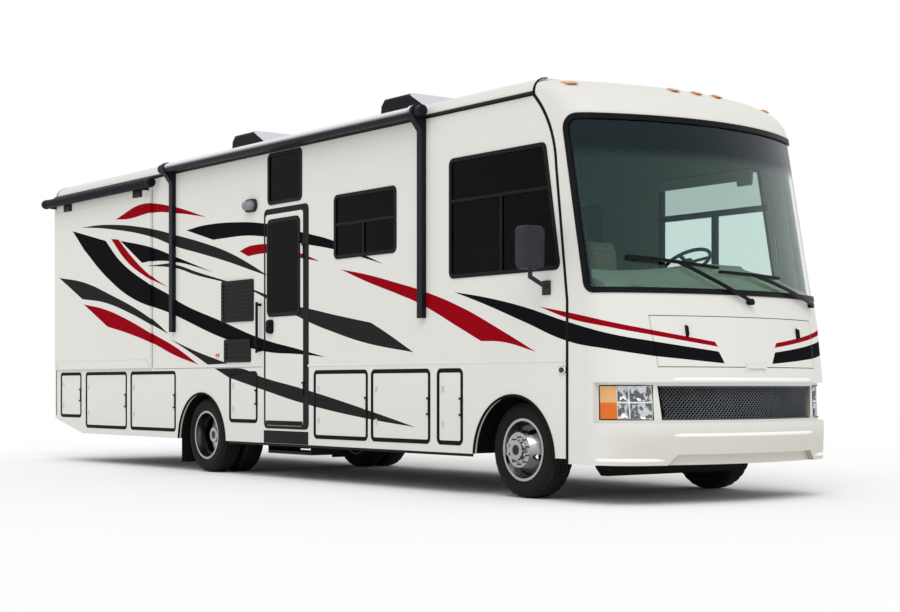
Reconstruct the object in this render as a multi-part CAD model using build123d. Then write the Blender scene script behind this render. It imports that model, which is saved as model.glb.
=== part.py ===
from build123d import *
import math
import os

# Class A motorhome: millimetres, +X forward, +Y left, +Z up, ground at zero.
# Stations are measured forward from the rear axle, and fore() measures from the front axle.

wheelbase = 5283
front_overhang = 1517
rear_overhang = 3809
nose_station = wheelbase + front_overhang
rear_station = -rear_overhang
ladder_reach = 100
half_width = 1280
origin_station = (nose_station + rear_station - ladder_reach) / 2

tyre_radius = 400
tyre_width = 240
rim_radius = 252
front_track = 2120
rear_track_outer = 2210
twin_spacing = 275

wall = 50
skirt_sheet = 30
glass_sheet = 8
seam_gap = 6
moving_gap = 6
pin_gap = 0.3

skirt_z = 352
cap_z = 312
belt_z = 1123
eave_z = 3280
edge_radius = 160
roof_crown = 15
floor_z = 1090
floor_sheet = 80

rail_half_spacing = 400
rail_width = 70
rail_height = 230
rail_z = 640

arch_radius = 520
arch_centre_z = 330

kingpin_half_spacing = 890
kingpin_radius = 20

frame_ring = 35
seal_ring = 32
frame_proud = 8
seal_proud = 3


def at(station):
    return station - origin_station


def fore(offset):
    return at(wheelbase + offset)


def block(x0, x1, y0, y1, z0, z1):
    middle = Pos((x0 + x1) / 2, (y0 + y1) / 2, (z0 + z1) / 2)
    return middle * Box(abs(x1 - x0), abs(y1 - y0), abs(z1 - z0))


def side_plane(y):
    return Plane((0, y, 0), x_dir=(1, 0, 0), z_dir=(0, -1, 0))


def nose_plane(x):
    return Plane((x, 0, 0), x_dir=(0, 1, 0), z_dir=(1, 0, 0))


def side_prism(face, y_in, y_out):
    return extrude(side_plane(y_in) * face, y_in - y_out)


def polygon(points):
    return make_face(Polyline(*points, close=True))


def rounded(x0, x1, z0, z1, radius):
    return Pos((x0 + x1) / 2, (z0 + z1) / 2) * RectangleRounded(x1 - x0, z1 - z0, radius)


def other_side(shape):
    return mirror(shape, about=Plane.XZ)


def rod(start, end, radius):
    axis = Vector(*end) - Vector(*start)
    return extrude(Plane(start, z_dir=axis) * Circle(radius), axis.length)


def apart(shapes):
    return Compound(children=[piece for shape in shapes for piece in shape.solids()])


def save(shape, node):
    export_step(shape, "parts/" + node + ".step")


os.makedirs("parts", exist_ok=True)

roof_z = eave_z + edge_radius
floor_under = floor_z - floor_sheet
rail_top = rail_z + rail_height
axle_z = tyre_radius
front_x = at(wheelbase)
rear_x = at(0)
back_x = at(rear_station)
wall_back = back_x + wall
inner_wall = half_width - wall
inner_skirt = half_width - skirt_sheet

# Front cap, horizontal sections: height, setback of the nose, corner radius, lean of the face
cap_sections = (
    (cap_z, 10, 420, 0),
    (550, 0, 420, 0),
    (1000, 22, 400, 0),
    (1450, 97, 280, 0),
    (eave_z - 180, 432, 260, 18),
    (eave_z - 100, 470, 262, 33),
    (eave_z - 30, 532, 266, 47),
    (eave_z + 30, 612, 275, 58),
    (eave_z + 75, 705, 290, 68),
    (eave_z + 110, 815, 310, 75),
    (eave_z + 135, 935, 335, 80),
    (eave_z + 152, 1075, 365, 85),
    (roof_z, 1240, 400, 90),
)
nose_radius = 2500
cap_sheet = 40
cap_back = fore(-1283)
clear_x = at(nose_station + 500)
clear_z = roof_z + 200


def cap_outline(height, setback, corner, lean, grow):
    flat = math.cos(math.radians(lean))
    rise = max(0, height - eave_z) / edge_radius
    edge = math.sqrt(1 - rise ** 2)
    z = height + grow * math.sin(math.radians(lean))
    nose_x = at(nose_station - setback) + grow * flat
    bow = nose_radius + grow * flat
    turn = corner + grow * flat
    side = half_width - edge_radius + edge_radius * edge + grow * edge
    corner_y = side - turn
    bow_x = nose_x - bow
    corner_x = bow_x + math.sqrt((bow - turn) ** 2 - corner_y ** 2)
    swing = math.atan2(corner_y, corner_x - bow_x)
    half_turn = (swing + math.pi / 2) / 2
    meet_x = bow_x + bow * math.cos(swing)
    meet_y = bow * math.sin(swing)
    middle_x = corner_x + turn * math.cos(half_turn)
    middle_y = corner_y + turn * math.sin(half_turn)
    edges = (
        Line((cap_back, -side, z), (corner_x, -side, z)),
        ThreePointArc((corner_x, -side, z), (middle_x, -middle_y, z), (meet_x, -meet_y, z)),
        ThreePointArc((meet_x, -meet_y, z), (nose_x, 0, z), (meet_x, meet_y, z)),
        ThreePointArc((meet_x, meet_y, z), (middle_x, middle_y, z), (corner_x, side, z)),
        Line((corner_x, side, z), (cap_back, side, z)),
        Line((cap_back, side, z), (cap_back, -side, z)),
    )
    return make_face(edges)


cap_solids = {}


def cap_solid(grow):
    if grow not in cap_solids:
        faces = [cap_outline(*section, grow) for section in cap_sections]
        cap_solids[grow] = loft(faces, ruled=True)
    return cap_solids[grow]


def cap_layer(region, outer, inner):
    return (region & cap_solid(outer)) - cap_solid(inner)


def nose_prism(face):
    return extrude(nose_plane(cap_back) * face, clear_x - cap_back)


# Joint line between the cap and the walls, seen from the side
seam_foot = fore(672)
seam_bend_z = 1600
seam_mid = (fore(540), eave_z - 596)
seam_turn = (fore(452), eave_z - 250)
seam_top = (fore(267), eave_z)
seam_roof = fore(197)


def ahead_of_seam(gap):
    edges = (
        Line((seam_foot + gap, 0), (seam_foot + gap, seam_bend_z)),
        Line((seam_foot + gap, seam_bend_z), (seam_mid[0] + gap, seam_mid[1])),
        ThreePointArc(
            (seam_mid[0] + gap, seam_mid[1]),
            (seam_turn[0] + gap, seam_turn[1]),
            (seam_top[0] + gap, seam_top[1]),
        ),
        Line((seam_top[0] + gap, seam_top[1]), (seam_roof + gap, clear_z)),
        Line((seam_roof + gap, clear_z), (clear_x, clear_z)),
        Line((clear_x, clear_z), (clear_x, 0)),
        Line((clear_x, 0), (seam_foot + gap, 0)),
    )
    return side_prism(make_face(edges), half_width + 300, -half_width - 300)


# Windshield: outline in side view, cut right across the nose
glass_low = 1650
glass_high = eave_z - 200
glass_foot = 882
glass_lean = 0.195
gasket = 45


def glass_outline(inset):
    low = glass_low + inset
    high = glass_high - inset
    foot = fore(glass_foot) + inset * 1.1 - glass_lean * inset
    head = fore(glass_foot) + inset * 1.1 - glass_lean * (high - glass_low)
    corners = 110 - inset
    shape = polygon(((foot, low), (clear_x, low), (clear_x, high), (head, high)))
    ends = shape.vertices().sort_by(Axis.X)[0:2]
    return side_prism(fillet(ends, corners), half_width + 200, -half_width - 200)


# Nose openings: heights and half widths
hood_low = 1078
hood_high = 1471
hood_low_half = 903
hood_high_half = 931
grille_low = 660
grille_high = 927
grille_low_half = 864
grille_high_half = 893
lamp_low = 662
lamp_high = 935
lamp_inner = 925
lamp_back = 985
recess_high = 395
recess_low_half = 876
recess_high_half = 772


def nose_panel(low, high, low_half, high_half, grow):
    points = (
        (-low_half - grow, low - grow),
        (low_half + grow, low - grow),
        (high_half + grow, high + grow),
        (-high_half - grow, high + grow),
    )
    return nose_prism(polygon(points))


def lamp_pocket(grow):
    rear = fore(lamp_back) - grow
    outer = -half_width - 200
    right = block(rear, clear_x, outer, -lamp_inner + grow, lamp_low - grow, lamp_high + grow)
    return right + other_side(right)


pocket_rim = 14
pocket_depth = 120
band_low = 640
band_high = 955
band_end = lamp_back - 15
band_inset = 45
band_sheet = 25
hood_sheet = 25


# The lamps and the grille sit in one band sunk into the nose
def nose_band(grow):
    outer = half_width + 200
    return block(fore(band_end) - grow, clear_x, -outer, outer, band_low - grow, band_high + grow)



body_box = block(cap_back, clear_x, -half_width, half_width, 0, roof_z + 50)
skin = cap_layer(body_box & ahead_of_seam(seam_gap), 0, -cap_sheet)
grille_hole = nose_panel(grille_low, grille_high, grille_low_half, grille_high_half, 0)
grille_rim = nose_panel(grille_low, grille_high, grille_low_half, grille_high_half, pocket_rim) - grille_hole
recess_hole = nose_panel(cap_z - 50, recess_high, recess_low_half + 25, recess_high_half, 0)
recess_back = nose_panel(cap_z - 50, recess_high, recess_low_half + 25, recess_high_half, pocket_rim)
lamp_hole = lamp_pocket(0)
lamp_rim = lamp_pocket(pocket_rim) - lamp_hole
recess_depth = 55
recess_sheet = 25
band_floor = -band_inset
band_back = band_floor - band_sheet
band_hole = nose_band(0)
band_outer = nose_band(pocket_rim)
cap = skin - band_hole - recess_hole
cap = cap + cap_layer(band_outer - band_hole, -1, band_back)
cap = cap + cap_layer(band_outer - grille_hole - lamp_hole, band_floor, band_back)
cap = cap + cap_layer(grille_rim, band_floor - 1, -pocket_depth)
cap = cap + cap_layer(lamp_rim, band_floor - 1, -pocket_depth)
cap = cap + cap_layer(recess_back - recess_hole, -1, -recess_depth - recess_sheet)
cap = cap + cap_layer(recess_back, -recess_depth, -recess_depth - recess_sheet)
cap = cap - glass_outline(0) - nose_panel(hood_low, hood_high, hood_low_half, hood_high_half, moving_gap)
save(cap, "front_cap")

hood = cap_layer(nose_panel(hood_low, hood_high, hood_low_half, hood_high_half, 0), 0, -hood_sheet)
hood_hinge_x = at(nose_station - 35) + 12
hood_hinge_z = hood_low - 6
hood_hinge_half = 100
hood_pin = 4
hood_barrel = 8


def hood_rod(y_start, y_end, radius):
    return rod((hood_hinge_x, y_start, hood_hinge_z), (hood_hinge_x, y_end, hood_hinge_z), radius)


hood = hood + hood_rod(-hood_hinge_half, hood_hinge_half, hood_barrel)
hood_leaf = block(
    hood_hinge_x - 30, hood_hinge_x + 3, -hood_hinge_half, hood_hinge_half, hood_low, hood_low + 26
)
hood = hood + (hood_leaf - cap_solid(-5))
hood_reach = hood_hinge_half + 18
hood = hood - hood_rod(-2 * hood_reach, 2 * hood_reach, hood_pin + pin_gap)
save(hood, "hood")
hood_half = hood_rod(-hood_reach, hood_reach, hood_pin)
for end in (-1, 1):
    near = end * (hood_hinge_half + 0.5)
    far = end * hood_reach
    hood_half = hood_half + hood_rod(near, far, hood_barrel)
    lug_leaf = block(hood_hinge_x - 30, hood_hinge_x + 3, near, far, hood_hinge_z - 30, hood_hinge_z - 1)
    hood_half = hood_half + (lug_leaf - cap_solid(0))

gasket_ring = cap_layer(glass_outline(0) - glass_outline(gasket), frame_proud, -cap_sheet)
windshield = cap_layer(glass_outline(gasket), -10, -10 - glass_sheet)
save(windshield, "windshield")

seam_ring = cap_layer(ahead_of_seam(0) - ahead_of_seam(seam_gap), 2, -cap_sheet)

# Grille: crossed bars inside a border, on the curve of the nose
grille_sheet = 14
grille_depth = band_inset + 15
grille_border = 16
grille_pitch = 62
grille_bar = 9
grille_lean = 45
grille_points = (
    (-grille_low_half, grille_low),
    (grille_low_half, grille_low),
    (grille_high_half, grille_high),
    (-grille_high_half, grille_high),
)
grille_face = polygon(grille_points)
grille_middle = (grille_low + grille_high) / 2
grille_bars = Sketch()
bar_length = 2 * (grille_high - grille_low)
bar_count = math.ceil((2 * grille_high_half + bar_length) / grille_pitch)
for lean in (-grille_lean, grille_lean):
    for index in range(bar_count):
        bar_y = (index - (bar_count - 1) / 2) * grille_pitch
        grille_bars += Pos(bar_y, grille_middle) * Rot(0, 0, lean) * Rectangle(grille_bar, bar_length)
grille_net = (grille_bars & grille_face) + (grille_face - offset(grille_face, -grille_border))
grille = cap_layer(nose_prism(grille_net), -grille_depth, -grille_depth - grille_sheet)
save(grille, "grille")

# Headlamps: two rows of bowls sunk in one housing, each with its bulb
lamp_front = band_inset + 4
lamp_sheet = 55
bowl_rim = 12
bowl_depth = 38
bulb_radius = 13
bowl_outer = 1145
bowl_back = lamp_back + 28
lamp_middle = (lamp_low + lamp_high) / 2
headlamps = cap_layer(lamp_hole, -lamp_front, -lamp_front - lamp_sheet)
bowls = []
bulbs = []
for low, high in ((lamp_low, lamp_middle), (lamp_middle, lamp_high)):
    bowl_low = low + bowl_rim / 2
    bowl_high = high - bowl_rim / 2
    bowls.append(block(cap_back, clear_x, -lamp_inner - bowl_rim, -bowl_outer, bowl_low, bowl_high))
    side_edge = -bowl_outer - bowl_rim
    bowls.append(block(fore(bowl_back), clear_x, side_edge, -half_width - 200, bowl_low, bowl_high))
    bulb_y = -(lamp_inner + bowl_outer) / 2
    bulb_z = (low + high) / 2
    bulbs.append(rod((cap_back, bulb_y, bulb_z), (clear_x, bulb_y, bulb_z), bulb_radius))
for bowl in bowls:
    for shape in (bowl, other_side(bowl)):
        headlamps = headlamps - cap_layer(shape, 0, -lamp_front - bowl_depth)
for bulb in bulbs:
    for shape in (bulb, other_side(bulb)):
        headlamps = headlamps + cap_layer(shape, -lamp_front - 8, -lamp_front - bowl_depth - 5)
save(headlamps, "headlamps")

# Wipers, front view: pivot y, pivot z, blade end y, z, blade other end y, z
wiper_rows = (
    (20, 1600, -1040, 1935, -290, 1865),
    (990, 1612, -250, 1832, 440, 1810),
)
blade_half = 12
arm_half = 13


def front_bar(start, end, half):
    run = Vector(*end) - Vector(*start)
    angle = math.degrees(math.atan2(run.Y, run.X))
    middle = (Vector(*start) + Vector(*end)) * 0.5
    bar = RectangleRounded(run.length + 2 * half, 2 * half, half - 1)
    return nose_prism(Pos(middle.X, middle.Y) * Rot(0, 0, angle) * bar)


wipers = []
for pivot_y, pivot_z, first_y, first_z, last_y, last_z in wiper_rows:
    middle = ((first_y + last_y) / 2, (first_z + last_z) / 2)
    blade = cap_layer(front_bar((first_y, first_z), (last_y, last_z), blade_half), 36, 2)
    arm = cap_layer(front_bar((pivot_y, pivot_z), middle, arm_half), 48, 30)
    boss = cap_layer(nose_prism(Pos(pivot_y, pivot_z) * Circle(26)), 48, 0)
    wipers.append(blade + arm + boss)
save(apart(wipers), "wipers")

# Marker lamps: five on the brow, one on each wall
marker_z = eave_z + 72
marker_half = 38
marker_low = 12
marker_proud = 18
markers = []
for marker_y in (-1145, -253, 0, 253, 1145):
    near = marker_y - marker_half
    far = marker_y + marker_half
    window = block(cap_back, clear_x, near, far, marker_z - marker_low, marker_z + marker_low)
    markers.append(cap_layer(window, marker_proud, 0))

# Windows: rear station, front station low and high, low edge, high edge, bar height, bar station
frame_rear = 1316
frame_front = 2159
cab_rear = wheelbase - 860
bay_length = cab_rear - frame_front
middle_rear = frame_front + 0.2 * bay_length
middle_front = frame_front + 0.652 * bay_length
middle_bar = (middle_rear + middle_front) / 2 - 16
windows = {
    "over_door": (frame_rear + 75, frame_front - 120, frame_front - 120, 2749, eave_z - 10, 0, 0),
    "middle": (middle_rear, middle_front, middle_front, 2130, 2740, 2457, middle_bar),
    "cab": (cab_rear, wheelbase + 601, wheelbase + 417, 1850, 2885, 2515, wheelbase - 147),
}
window_corner = 60


def window_face(name, grow):
    rear, low_front, high_front, low, high, bar_z, bar_x = windows[name]
    points = (
        (at(rear) - grow, low - grow),
        (at(low_front) + grow, low - grow),
        (at(high_front) + grow, high + grow),
        (at(rear) - grow, high + grow),
    )
    return fillet(polygon(points).vertices(), window_corner + grow)


# Hinges stand outside the skin: pin and lugs on the coach, barrel on the door
hinge_pin = 4
hinge_barrel = 8
hinge_out = 12
hinge_lug = 18
hinge_leaf = 26
hinge_edge = 2
hinge_y = -half_width - hinge_out


def hinge_moving(x, z, length):
    barrel = rod((x, hinge_y, z - length / 2), (x, hinge_y, z + length / 2), hinge_barrel)
    leaf = block(x - hinge_leaf, x - 6, -half_width, hinge_y - 3, z - length / 2, z + length / 2)
    return barrel + leaf


def hinge_bore(x, z, length):
    return rod((x, hinge_y, z - length), (x, hinge_y, z + length), hinge_pin + pin_gap)


def hinge_fixed(x, z, length, seat_y):
    reach = length / 2 + hinge_lug
    half = rod((x, hinge_y, z - reach), (x, hinge_y, z + reach), hinge_pin)
    for end in (-1, 1):
        near = z + end * (length / 2 + 0.5)
        far = z + end * reach
        half = half + rod((x, hinge_y, near), (x, hinge_y, far), hinge_barrel)
        half = half + block(x + 6, x + hinge_leaf, seat_y, hinge_y - 3, near, far)
    return half


hinge_halves = [hood_half]
hatch_hinge = 120
door_hinge = 100
door_hinge_levels = (900, 2250)

front_bay_rear = frame_front + 91
front_bay_front = wheelbase - 1137
front_bay_middle = (front_bay_rear + front_bay_front) / 2 + 4

# Doors in the skirt: rear station, front station, low, high
hatches_right = {
    "hatch_right_1": (-3642, -3032, 542, 1096),
    "hatch_right_2": (-2908, -1790, 422, 1096),
    "hatch_right_3": (-1696, -582, 422, 1096),
    "hatch_right_4": (605, 1187, 548, 1080),
    "hatch_right_5": (front_bay_rear, front_bay_middle - 25, 418, 1080),
    "hatch_right_6": (front_bay_middle + 26, front_bay_front, 418, 1080),
    "hatch_right_7": (wheelbase - 1041, wheelbase - 669, 418, 1080),
}
hatches_left = {
    "hatch_left_1": (-2908, -1790, 422, 1096),
    "hatch_left_2": (front_bay_rear, front_bay_middle - 25, 418, 1080),
    "hatch_left_3": (front_bay_middle + 26, front_bay_front, 418, 1080),
}
hatch_corner = 24
hatch_sheet = 26

# Entry door, right side
door_rear = frame_rear + 26
door_front = frame_front - 107
door_low = 530
door_high = 2655
door_sheet = 44
door_corner = 60
frame_low = 500
frame_high = 2712
door_glass = (door_rear + 53, door_front - 70, 1644, 2585)

# Slide-out room, right rear
slide_rear = -3751
slide_front = -1144
slide_low = 1130
slide_high = 3190
slide_flange = 46
slide_sheet = 40
slide_plate = 24
slide_depth = 640


def seam_wall_face():
    edges = (
        Line((wall_back, belt_z), (seam_foot, belt_z)),
        Line((seam_foot, belt_z), (seam_foot, seam_bend_z)),
        Line((seam_foot, seam_bend_z), seam_mid),
        ThreePointArc(seam_mid, seam_turn, seam_top),
        Line(seam_top, (wall_back, eave_z)),
        Line((wall_back, eave_z), (wall_back, belt_z)),
    )
    return make_face(edges)


plain_wall = side_prism(seam_wall_face(), -inner_wall, -half_width)
cut_in = -inner_wall + 100
cut_out = -half_width - 100
door_frame_face = rounded(at(frame_rear), at(frame_front), frame_low, frame_high, door_corner)
door_frame_hole = side_prism(door_frame_face, cut_in, cut_out)
hole_rear = at(slide_rear) + slide_flange
hole_front = at(slide_front) - slide_flange
hole_low = slide_low + slide_flange
slide_hole = block(hole_rear, hole_front, cut_in, cut_out, hole_low, slide_high - slide_flange)

wall_right = plain_wall - door_frame_hole - slide_hole
for name in windows:
    wall_right = wall_right - side_prism(window_face(name, 0), cut_in, cut_out)
save(wall_right, "wall_right")

left_windows = ("middle", "cab")
wall_left = plain_wall
for name in left_windows:
    wall_left = wall_left - side_prism(window_face(name, 0), cut_in, cut_out)
wall_left = other_side(wall_left)
save(wall_left, "wall_left")

frame_out = -half_width - frame_proud
glass_out = -half_width + 4
bar_half = 13


def window_frame(name):
    ring = window_face(name, 0) - window_face(name, -frame_ring)
    frame = side_prism(ring, -inner_wall, frame_out)
    rear, low_front, high_front, low, high, bar_z, bar_x = windows[name]
    if bar_z:
        bar_front = at(max(low_front, high_front))
        level = block(at(rear), bar_front, glass_out, frame_out, bar_z - bar_half, bar_z + bar_half)
        upright = block(at(bar_x) - bar_half, at(bar_x) + bar_half, glass_out, frame_out, low, bar_z)
        frame = frame + ((level + upright) & side_prism(window_face(name, -5), cut_in, cut_out))
    return frame


def window_pane(name):
    return side_prism(window_face(name, -frame_ring), glass_out + glass_sheet, glass_out)


def hatch_ring(row):
    rear, front, low, high = row
    outer = rounded(at(rear), at(front), low, high, hatch_corner + seal_ring)
    inner = rounded(
        at(rear) + seal_ring, at(front) - seal_ring, low + seal_ring, high - seal_ring, hatch_corner
    )
    return outer, inner


def hatch_seal(row):
    outer, inner = hatch_ring(row)
    return side_prism(outer - inner, -inner_skirt, -half_width - seal_proud)


def hatch_panel(row):
    rear, front, low, high = row
    inset = seal_ring + moving_gap
    corner = hatch_corner - moving_gap
    face = rounded(at(rear) + inset, at(front) - inset, low + inset, high - inset, corner)
    hinge_x = at(front) - inset + hinge_edge
    hinge_z = (low + high) / 2
    panel = side_prism(face, -half_width + hatch_sheet, -half_width)
    panel = panel + hinge_moving(hinge_x, hinge_z, hatch_hinge)
    return panel - hinge_bore(hinge_x, hinge_z, hatch_hinge)


def hatch_hinge_half(row):
    rear, front, low, high = row
    hinge_x = at(front) - seal_ring - moving_gap + hinge_edge
    return hinge_fixed(hinge_x, (low + high) / 2, hatch_hinge, -half_width - seal_proud)


door_hole_face = rounded(
    at(door_rear) - moving_gap,
    at(door_front) + moving_gap,
    door_low - moving_gap,
    door_high + moving_gap,
    door_corner - 20,
)
door_frame = side_prism(door_frame_face - door_hole_face, -inner_wall, -half_width - seal_proud)

frames = []
panes = []
for name in windows:
    frames.append(window_frame(name))
    panes.append(window_pane(name))
for name in left_windows:
    frames.append(other_side(window_frame(name)))
    panes.append(other_side(window_pane(name)))
frames.append(door_frame)
frames.append(gasket_ring)
frames.append(seam_ring)
save(apart(frames), "window_frames")
save(apart(panes), "side_glass")

# Skirts below the belt line
skirt_points = (
    (wall_back, belt_z),
    (wall_back, 525 - wall * 173 / 809),
    (at(-3000), skirt_z),
    (seam_foot, skirt_z),
    (seam_foot, belt_z),
)
plain_skirt = side_prism(polygon(skirt_points), -inner_skirt, -half_width)
for axle_x in (front_x, rear_x):
    arch = Pos(axle_x, arch_centre_z) * Circle(arch_radius)
    plain_skirt = plain_skirt - side_prism(arch, cut_in, cut_out)
skirt_right = plain_skirt - door_frame_hole
seals = []
for node, row in hatches_right.items():
    outer, inner = hatch_ring(row)
    skirt_right = skirt_right - side_prism(outer, cut_in, cut_out)
    seals.append(hatch_seal(row))
    hinge_halves.append(hatch_hinge_half(row))
    save(hatch_panel(row), node)
save(skirt_right, "skirt_right")
skirt_left = plain_skirt
for node, row in hatches_left.items():
    outer, inner = hatch_ring(row)
    skirt_left = skirt_left - side_prism(outer, cut_in, cut_out)
    seals.append(other_side(hatch_seal(row)))
    hinge_halves.append(other_side(hatch_hinge_half(row)))
    save(other_side(hatch_panel(row)), node)
save(other_side(skirt_left), "skirt_left")
save(apart(seals), "hatch_seals")

door_face = rounded(at(door_rear), at(door_front), door_low, door_high, door_corner - 26)
glass_rear, glass_front, glass_foot_z, glass_head_z = door_glass
door_pane = rounded(at(glass_rear), at(glass_front), glass_foot_z, glass_head_z, 50)
entry_door = side_prism(door_face - door_pane, -half_width + door_sheet, -half_width)
door_hinge_x = at(door_front) + hinge_edge
for level in door_hinge_levels:
    entry_door = entry_door + hinge_moving(door_hinge_x, level, door_hinge)
    entry_door = entry_door - hinge_bore(door_hinge_x, level, door_hinge)
    hinge_halves.append(hinge_fixed(door_hinge_x, level, door_hinge, -half_width - seal_proud))
save(entry_door, "entry_door")
save(side_prism(door_pane, -half_width + 10, -half_width - 4), "entry_door_glass")

save(apart(hinge_halves), "hinge_halves")

# Slide-out room: open box behind a flange plate
box_gap = 10
plate_in = -half_width - moving_gap
plate_out = plate_in - slide_plate
box_rear = at(slide_rear) + slide_flange + box_gap
box_front = at(slide_front) - slide_flange - box_gap
box_low = slide_low + slide_flange + box_gap
box_high = slide_high - slide_flange - box_gap
plate = block(at(slide_rear), at(slide_front), plate_in, plate_out, slide_low, slide_high)
room = block(box_rear, box_front, -slide_depth, plate_in, box_low, box_high)
room_rear = box_rear + slide_sheet
room_front = box_front - slide_sheet
room_low = box_low + slide_sheet
room_space = block(room_rear, room_front, -slide_depth + 1, plate_in, room_low, box_high - slide_sheet)
save(plate + (room - room_space), "slideout")

topper_y = plate_out - 75
topper_z = slide_high + 26
topper_radius = 38
topper_rear = at(slide_rear) - 84
topper_front = at(slide_front) + 134
topper = rod((topper_rear, topper_y, topper_z), (topper_front, topper_y, topper_z), topper_radius)
for end_x in (topper_rear, topper_front):
    cap_start = (end_x - 14, topper_y, topper_z)
    topper = topper + rod(cap_start, (end_x + 14, topper_y, topper_z), topper_radius + 12)
for bracket_x in (at(slide_rear) + 321, at(slide_front) - 366):
    topper = topper + block(bracket_x - 25, bracket_x + 25, topper_y, plate_out, slide_high - 120, topper_z)
save(topper, "slide_topper")

# Roof, extruded along the coach
roof_flat = half_width - edge_radius
bend = edge_radius * math.sqrt(0.5)
roof_edges = (
    Line((-half_width, eave_z), (half_width, eave_z)),
    ThreePointArc((half_width, eave_z), (roof_flat + bend, eave_z + bend), (roof_flat, roof_z)),
    ThreePointArc((roof_flat, roof_z), (0, roof_z + roof_crown), (-roof_flat, roof_z)),
    ThreePointArc((-roof_flat, roof_z), (-roof_flat - bend, eave_z + bend), (-half_width, eave_z)),
)
roof = extrude(nose_plane(back_x) * make_face(roof_edges), seam_top[0] - back_x)
roof = roof - block(wall_back, clear_x, -inner_wall, inner_wall, eave_z - 10, eave_z + 60)
roof = roof - ahead_of_seam(0)
save(roof, "roof")

rear_wall = block(back_x, wall_back, -half_width, half_width, 525, eave_z)
save(rear_wall, "rear_wall")

# Floor with the step well, the engine cover and two seat stands
well_rear = at(frame_rear) - 20
well_front = at(frame_front) + 20
well_sheet = 20
tread_z = 780
well_inner = -700
tread_inner = -960
cover_half = 430
cover_rear = fore(-523)
cover_high = 1440
floor_front = fore(617)
floor = block(wall_back, floor_front, -inner_wall, inner_wall, floor_under, floor_z)
floor = floor - block(well_rear, well_front, -inner_wall - 10, well_inner, 0, floor_z + 10)
floor = floor + block(cover_rear, floor_front, -cover_half, cover_half, floor_under, cover_high)
cover_inner = cover_half - well_sheet
engine_space = block(
    cover_rear + well_sheet, floor_front + 10, -cover_inner, cover_inner, 0, cover_high - well_sheet
)
floor = floor - engine_space
step_rear_x = well_rear + well_sheet
step_front_x = well_front - well_sheet
well = block(well_rear, well_front, -inner_wall, well_inner + well_sheet, frame_low, floor_z)
well = well - block(
    step_rear_x, step_front_x, -half_width, tread_inner, frame_low + well_sheet, floor_z + 10
)
well = well - block(step_rear_x, step_front_x, -half_width, well_inner, tread_z, floor_z + 10)
well = well - block(
    well_rear - 10, well_front + 10, tread_inner + well_sheet, well_inner + 100, 0, tread_z - well_sheet
)
floor = floor + well
seat_y = 720
seat_x = fore(-863)
stand_half = 170
stand_high = 330
for side in (-1, 1):
    near = side * seat_y - stand_half
    far = side * seat_y + stand_half
    stand_front = seat_x + stand_half + 20
    floor = floor + block(seat_x - stand_half, stand_front, near, far, floor_z, floor_z + stand_high)
for rail_x in (at(slide_rear) + 551, at(slide_front) - 556):
    floor = floor + block(rail_x - 40, rail_x + 40, -inner_wall, -slide_depth, floor_z, box_low - pin_gap)
save(floor, "floor")

# Cab seats: cushion and back on each stand
cushion_z = floor_z + stand_high
seat_half = 260
back_points = (
    (seat_x - 280, cushion_z + 130),
    (seat_x - 120, cushion_z + 130),
    (seat_x - 230, cushion_z + 920),
    (seat_x - 340, cushion_z + 920),
)
seats = []
for side in (-1, 1):
    near = side * seat_y - seat_half
    far = side * seat_y + seat_half
    cushion = block(seat_x - seat_half, seat_x + seat_half + 10, near, far, cushion_z, cushion_z + 150)
    back_rest = side_prism(polygon(back_points), far - 10, near + 10)
    seats.append(cushion + back_rest)
save(apart(seats), "cab_seats")

# Dashboard, rising from the glass to a crest, with the dial hood and the steering column
dash_top = 1865
pod_top = 1965
pod_half = 215
pod_edge = 25
wheel_y = 560
dash_points = (
    (fore(477), floor_z),
    (fore(517), floor_z),
    (fore(567), 1500),
    (fore(1237), 1560),
    (fore(1237), glass_low - 10),
    (fore(617), dash_top),
    (fore(457), dash_top - 15),
    (fore(417), 1500),
)
pod_points = (
    (fore(437), dash_top - 60),
    (fore(767), dash_top - 60),
    (fore(617), pod_top),
    (fore(467), pod_top),
)
dash = side_prism(polygon(dash_points), inner_wall - 60, -inner_wall + 60)
dial_hood = side_prism(polygon(pod_points), wheel_y + pod_half, wheel_y - pod_half)
dial_hood = fillet(dial_hood.edges().group_by(Axis.Z)[-1], pod_edge)
dash = (dash + dial_hood) & cap_solid(-cap_sheet - 20)
dash = dash - block(cover_rear, fore(717), -cover_half, cover_half, 0, cover_high)
column_lean = math.radians(30)
wheel_hub = (fore(177), wheel_y, 2010)
column_axis = (-math.sin(column_lean), 0, math.cos(column_lean))


def below_hub(distance):
    return tuple(wheel_hub[i] - distance * column_axis[i] for i in range(3))


column_top = below_hub(40)
column_foot = below_hub(560)
shaft_end = below_hub(10)
shaft_radius = 12
dash = dash + rod(column_foot, column_top, 38) + rod(column_foot, shaft_end, shaft_radius)
save(dash, "dashboard")

hand_radius = 215
hand_rim = 16
hub_plane = Plane(below_hub(34), z_dir=column_axis)
rim_plane = Plane(wheel_hub, x_dir=(0, 1, 0), z_dir=column_axis)
hand_wheel = rim_plane * Torus(hand_radius, hand_rim) + extrude(hub_plane * Circle(55), 50)
for angle in (90, 210, 330):
    spoke = Pos(hand_radius / 2, 0, 0) * Box(hand_radius, 34, 14)
    hand_wheel = hand_wheel + rim_plane * Rot(0, 0, angle) * spoke
hand_wheel = hand_wheel - rod(column_top, below_hub(4), shaft_radius + pin_gap)
save(hand_wheel, "steering_wheel")

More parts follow.
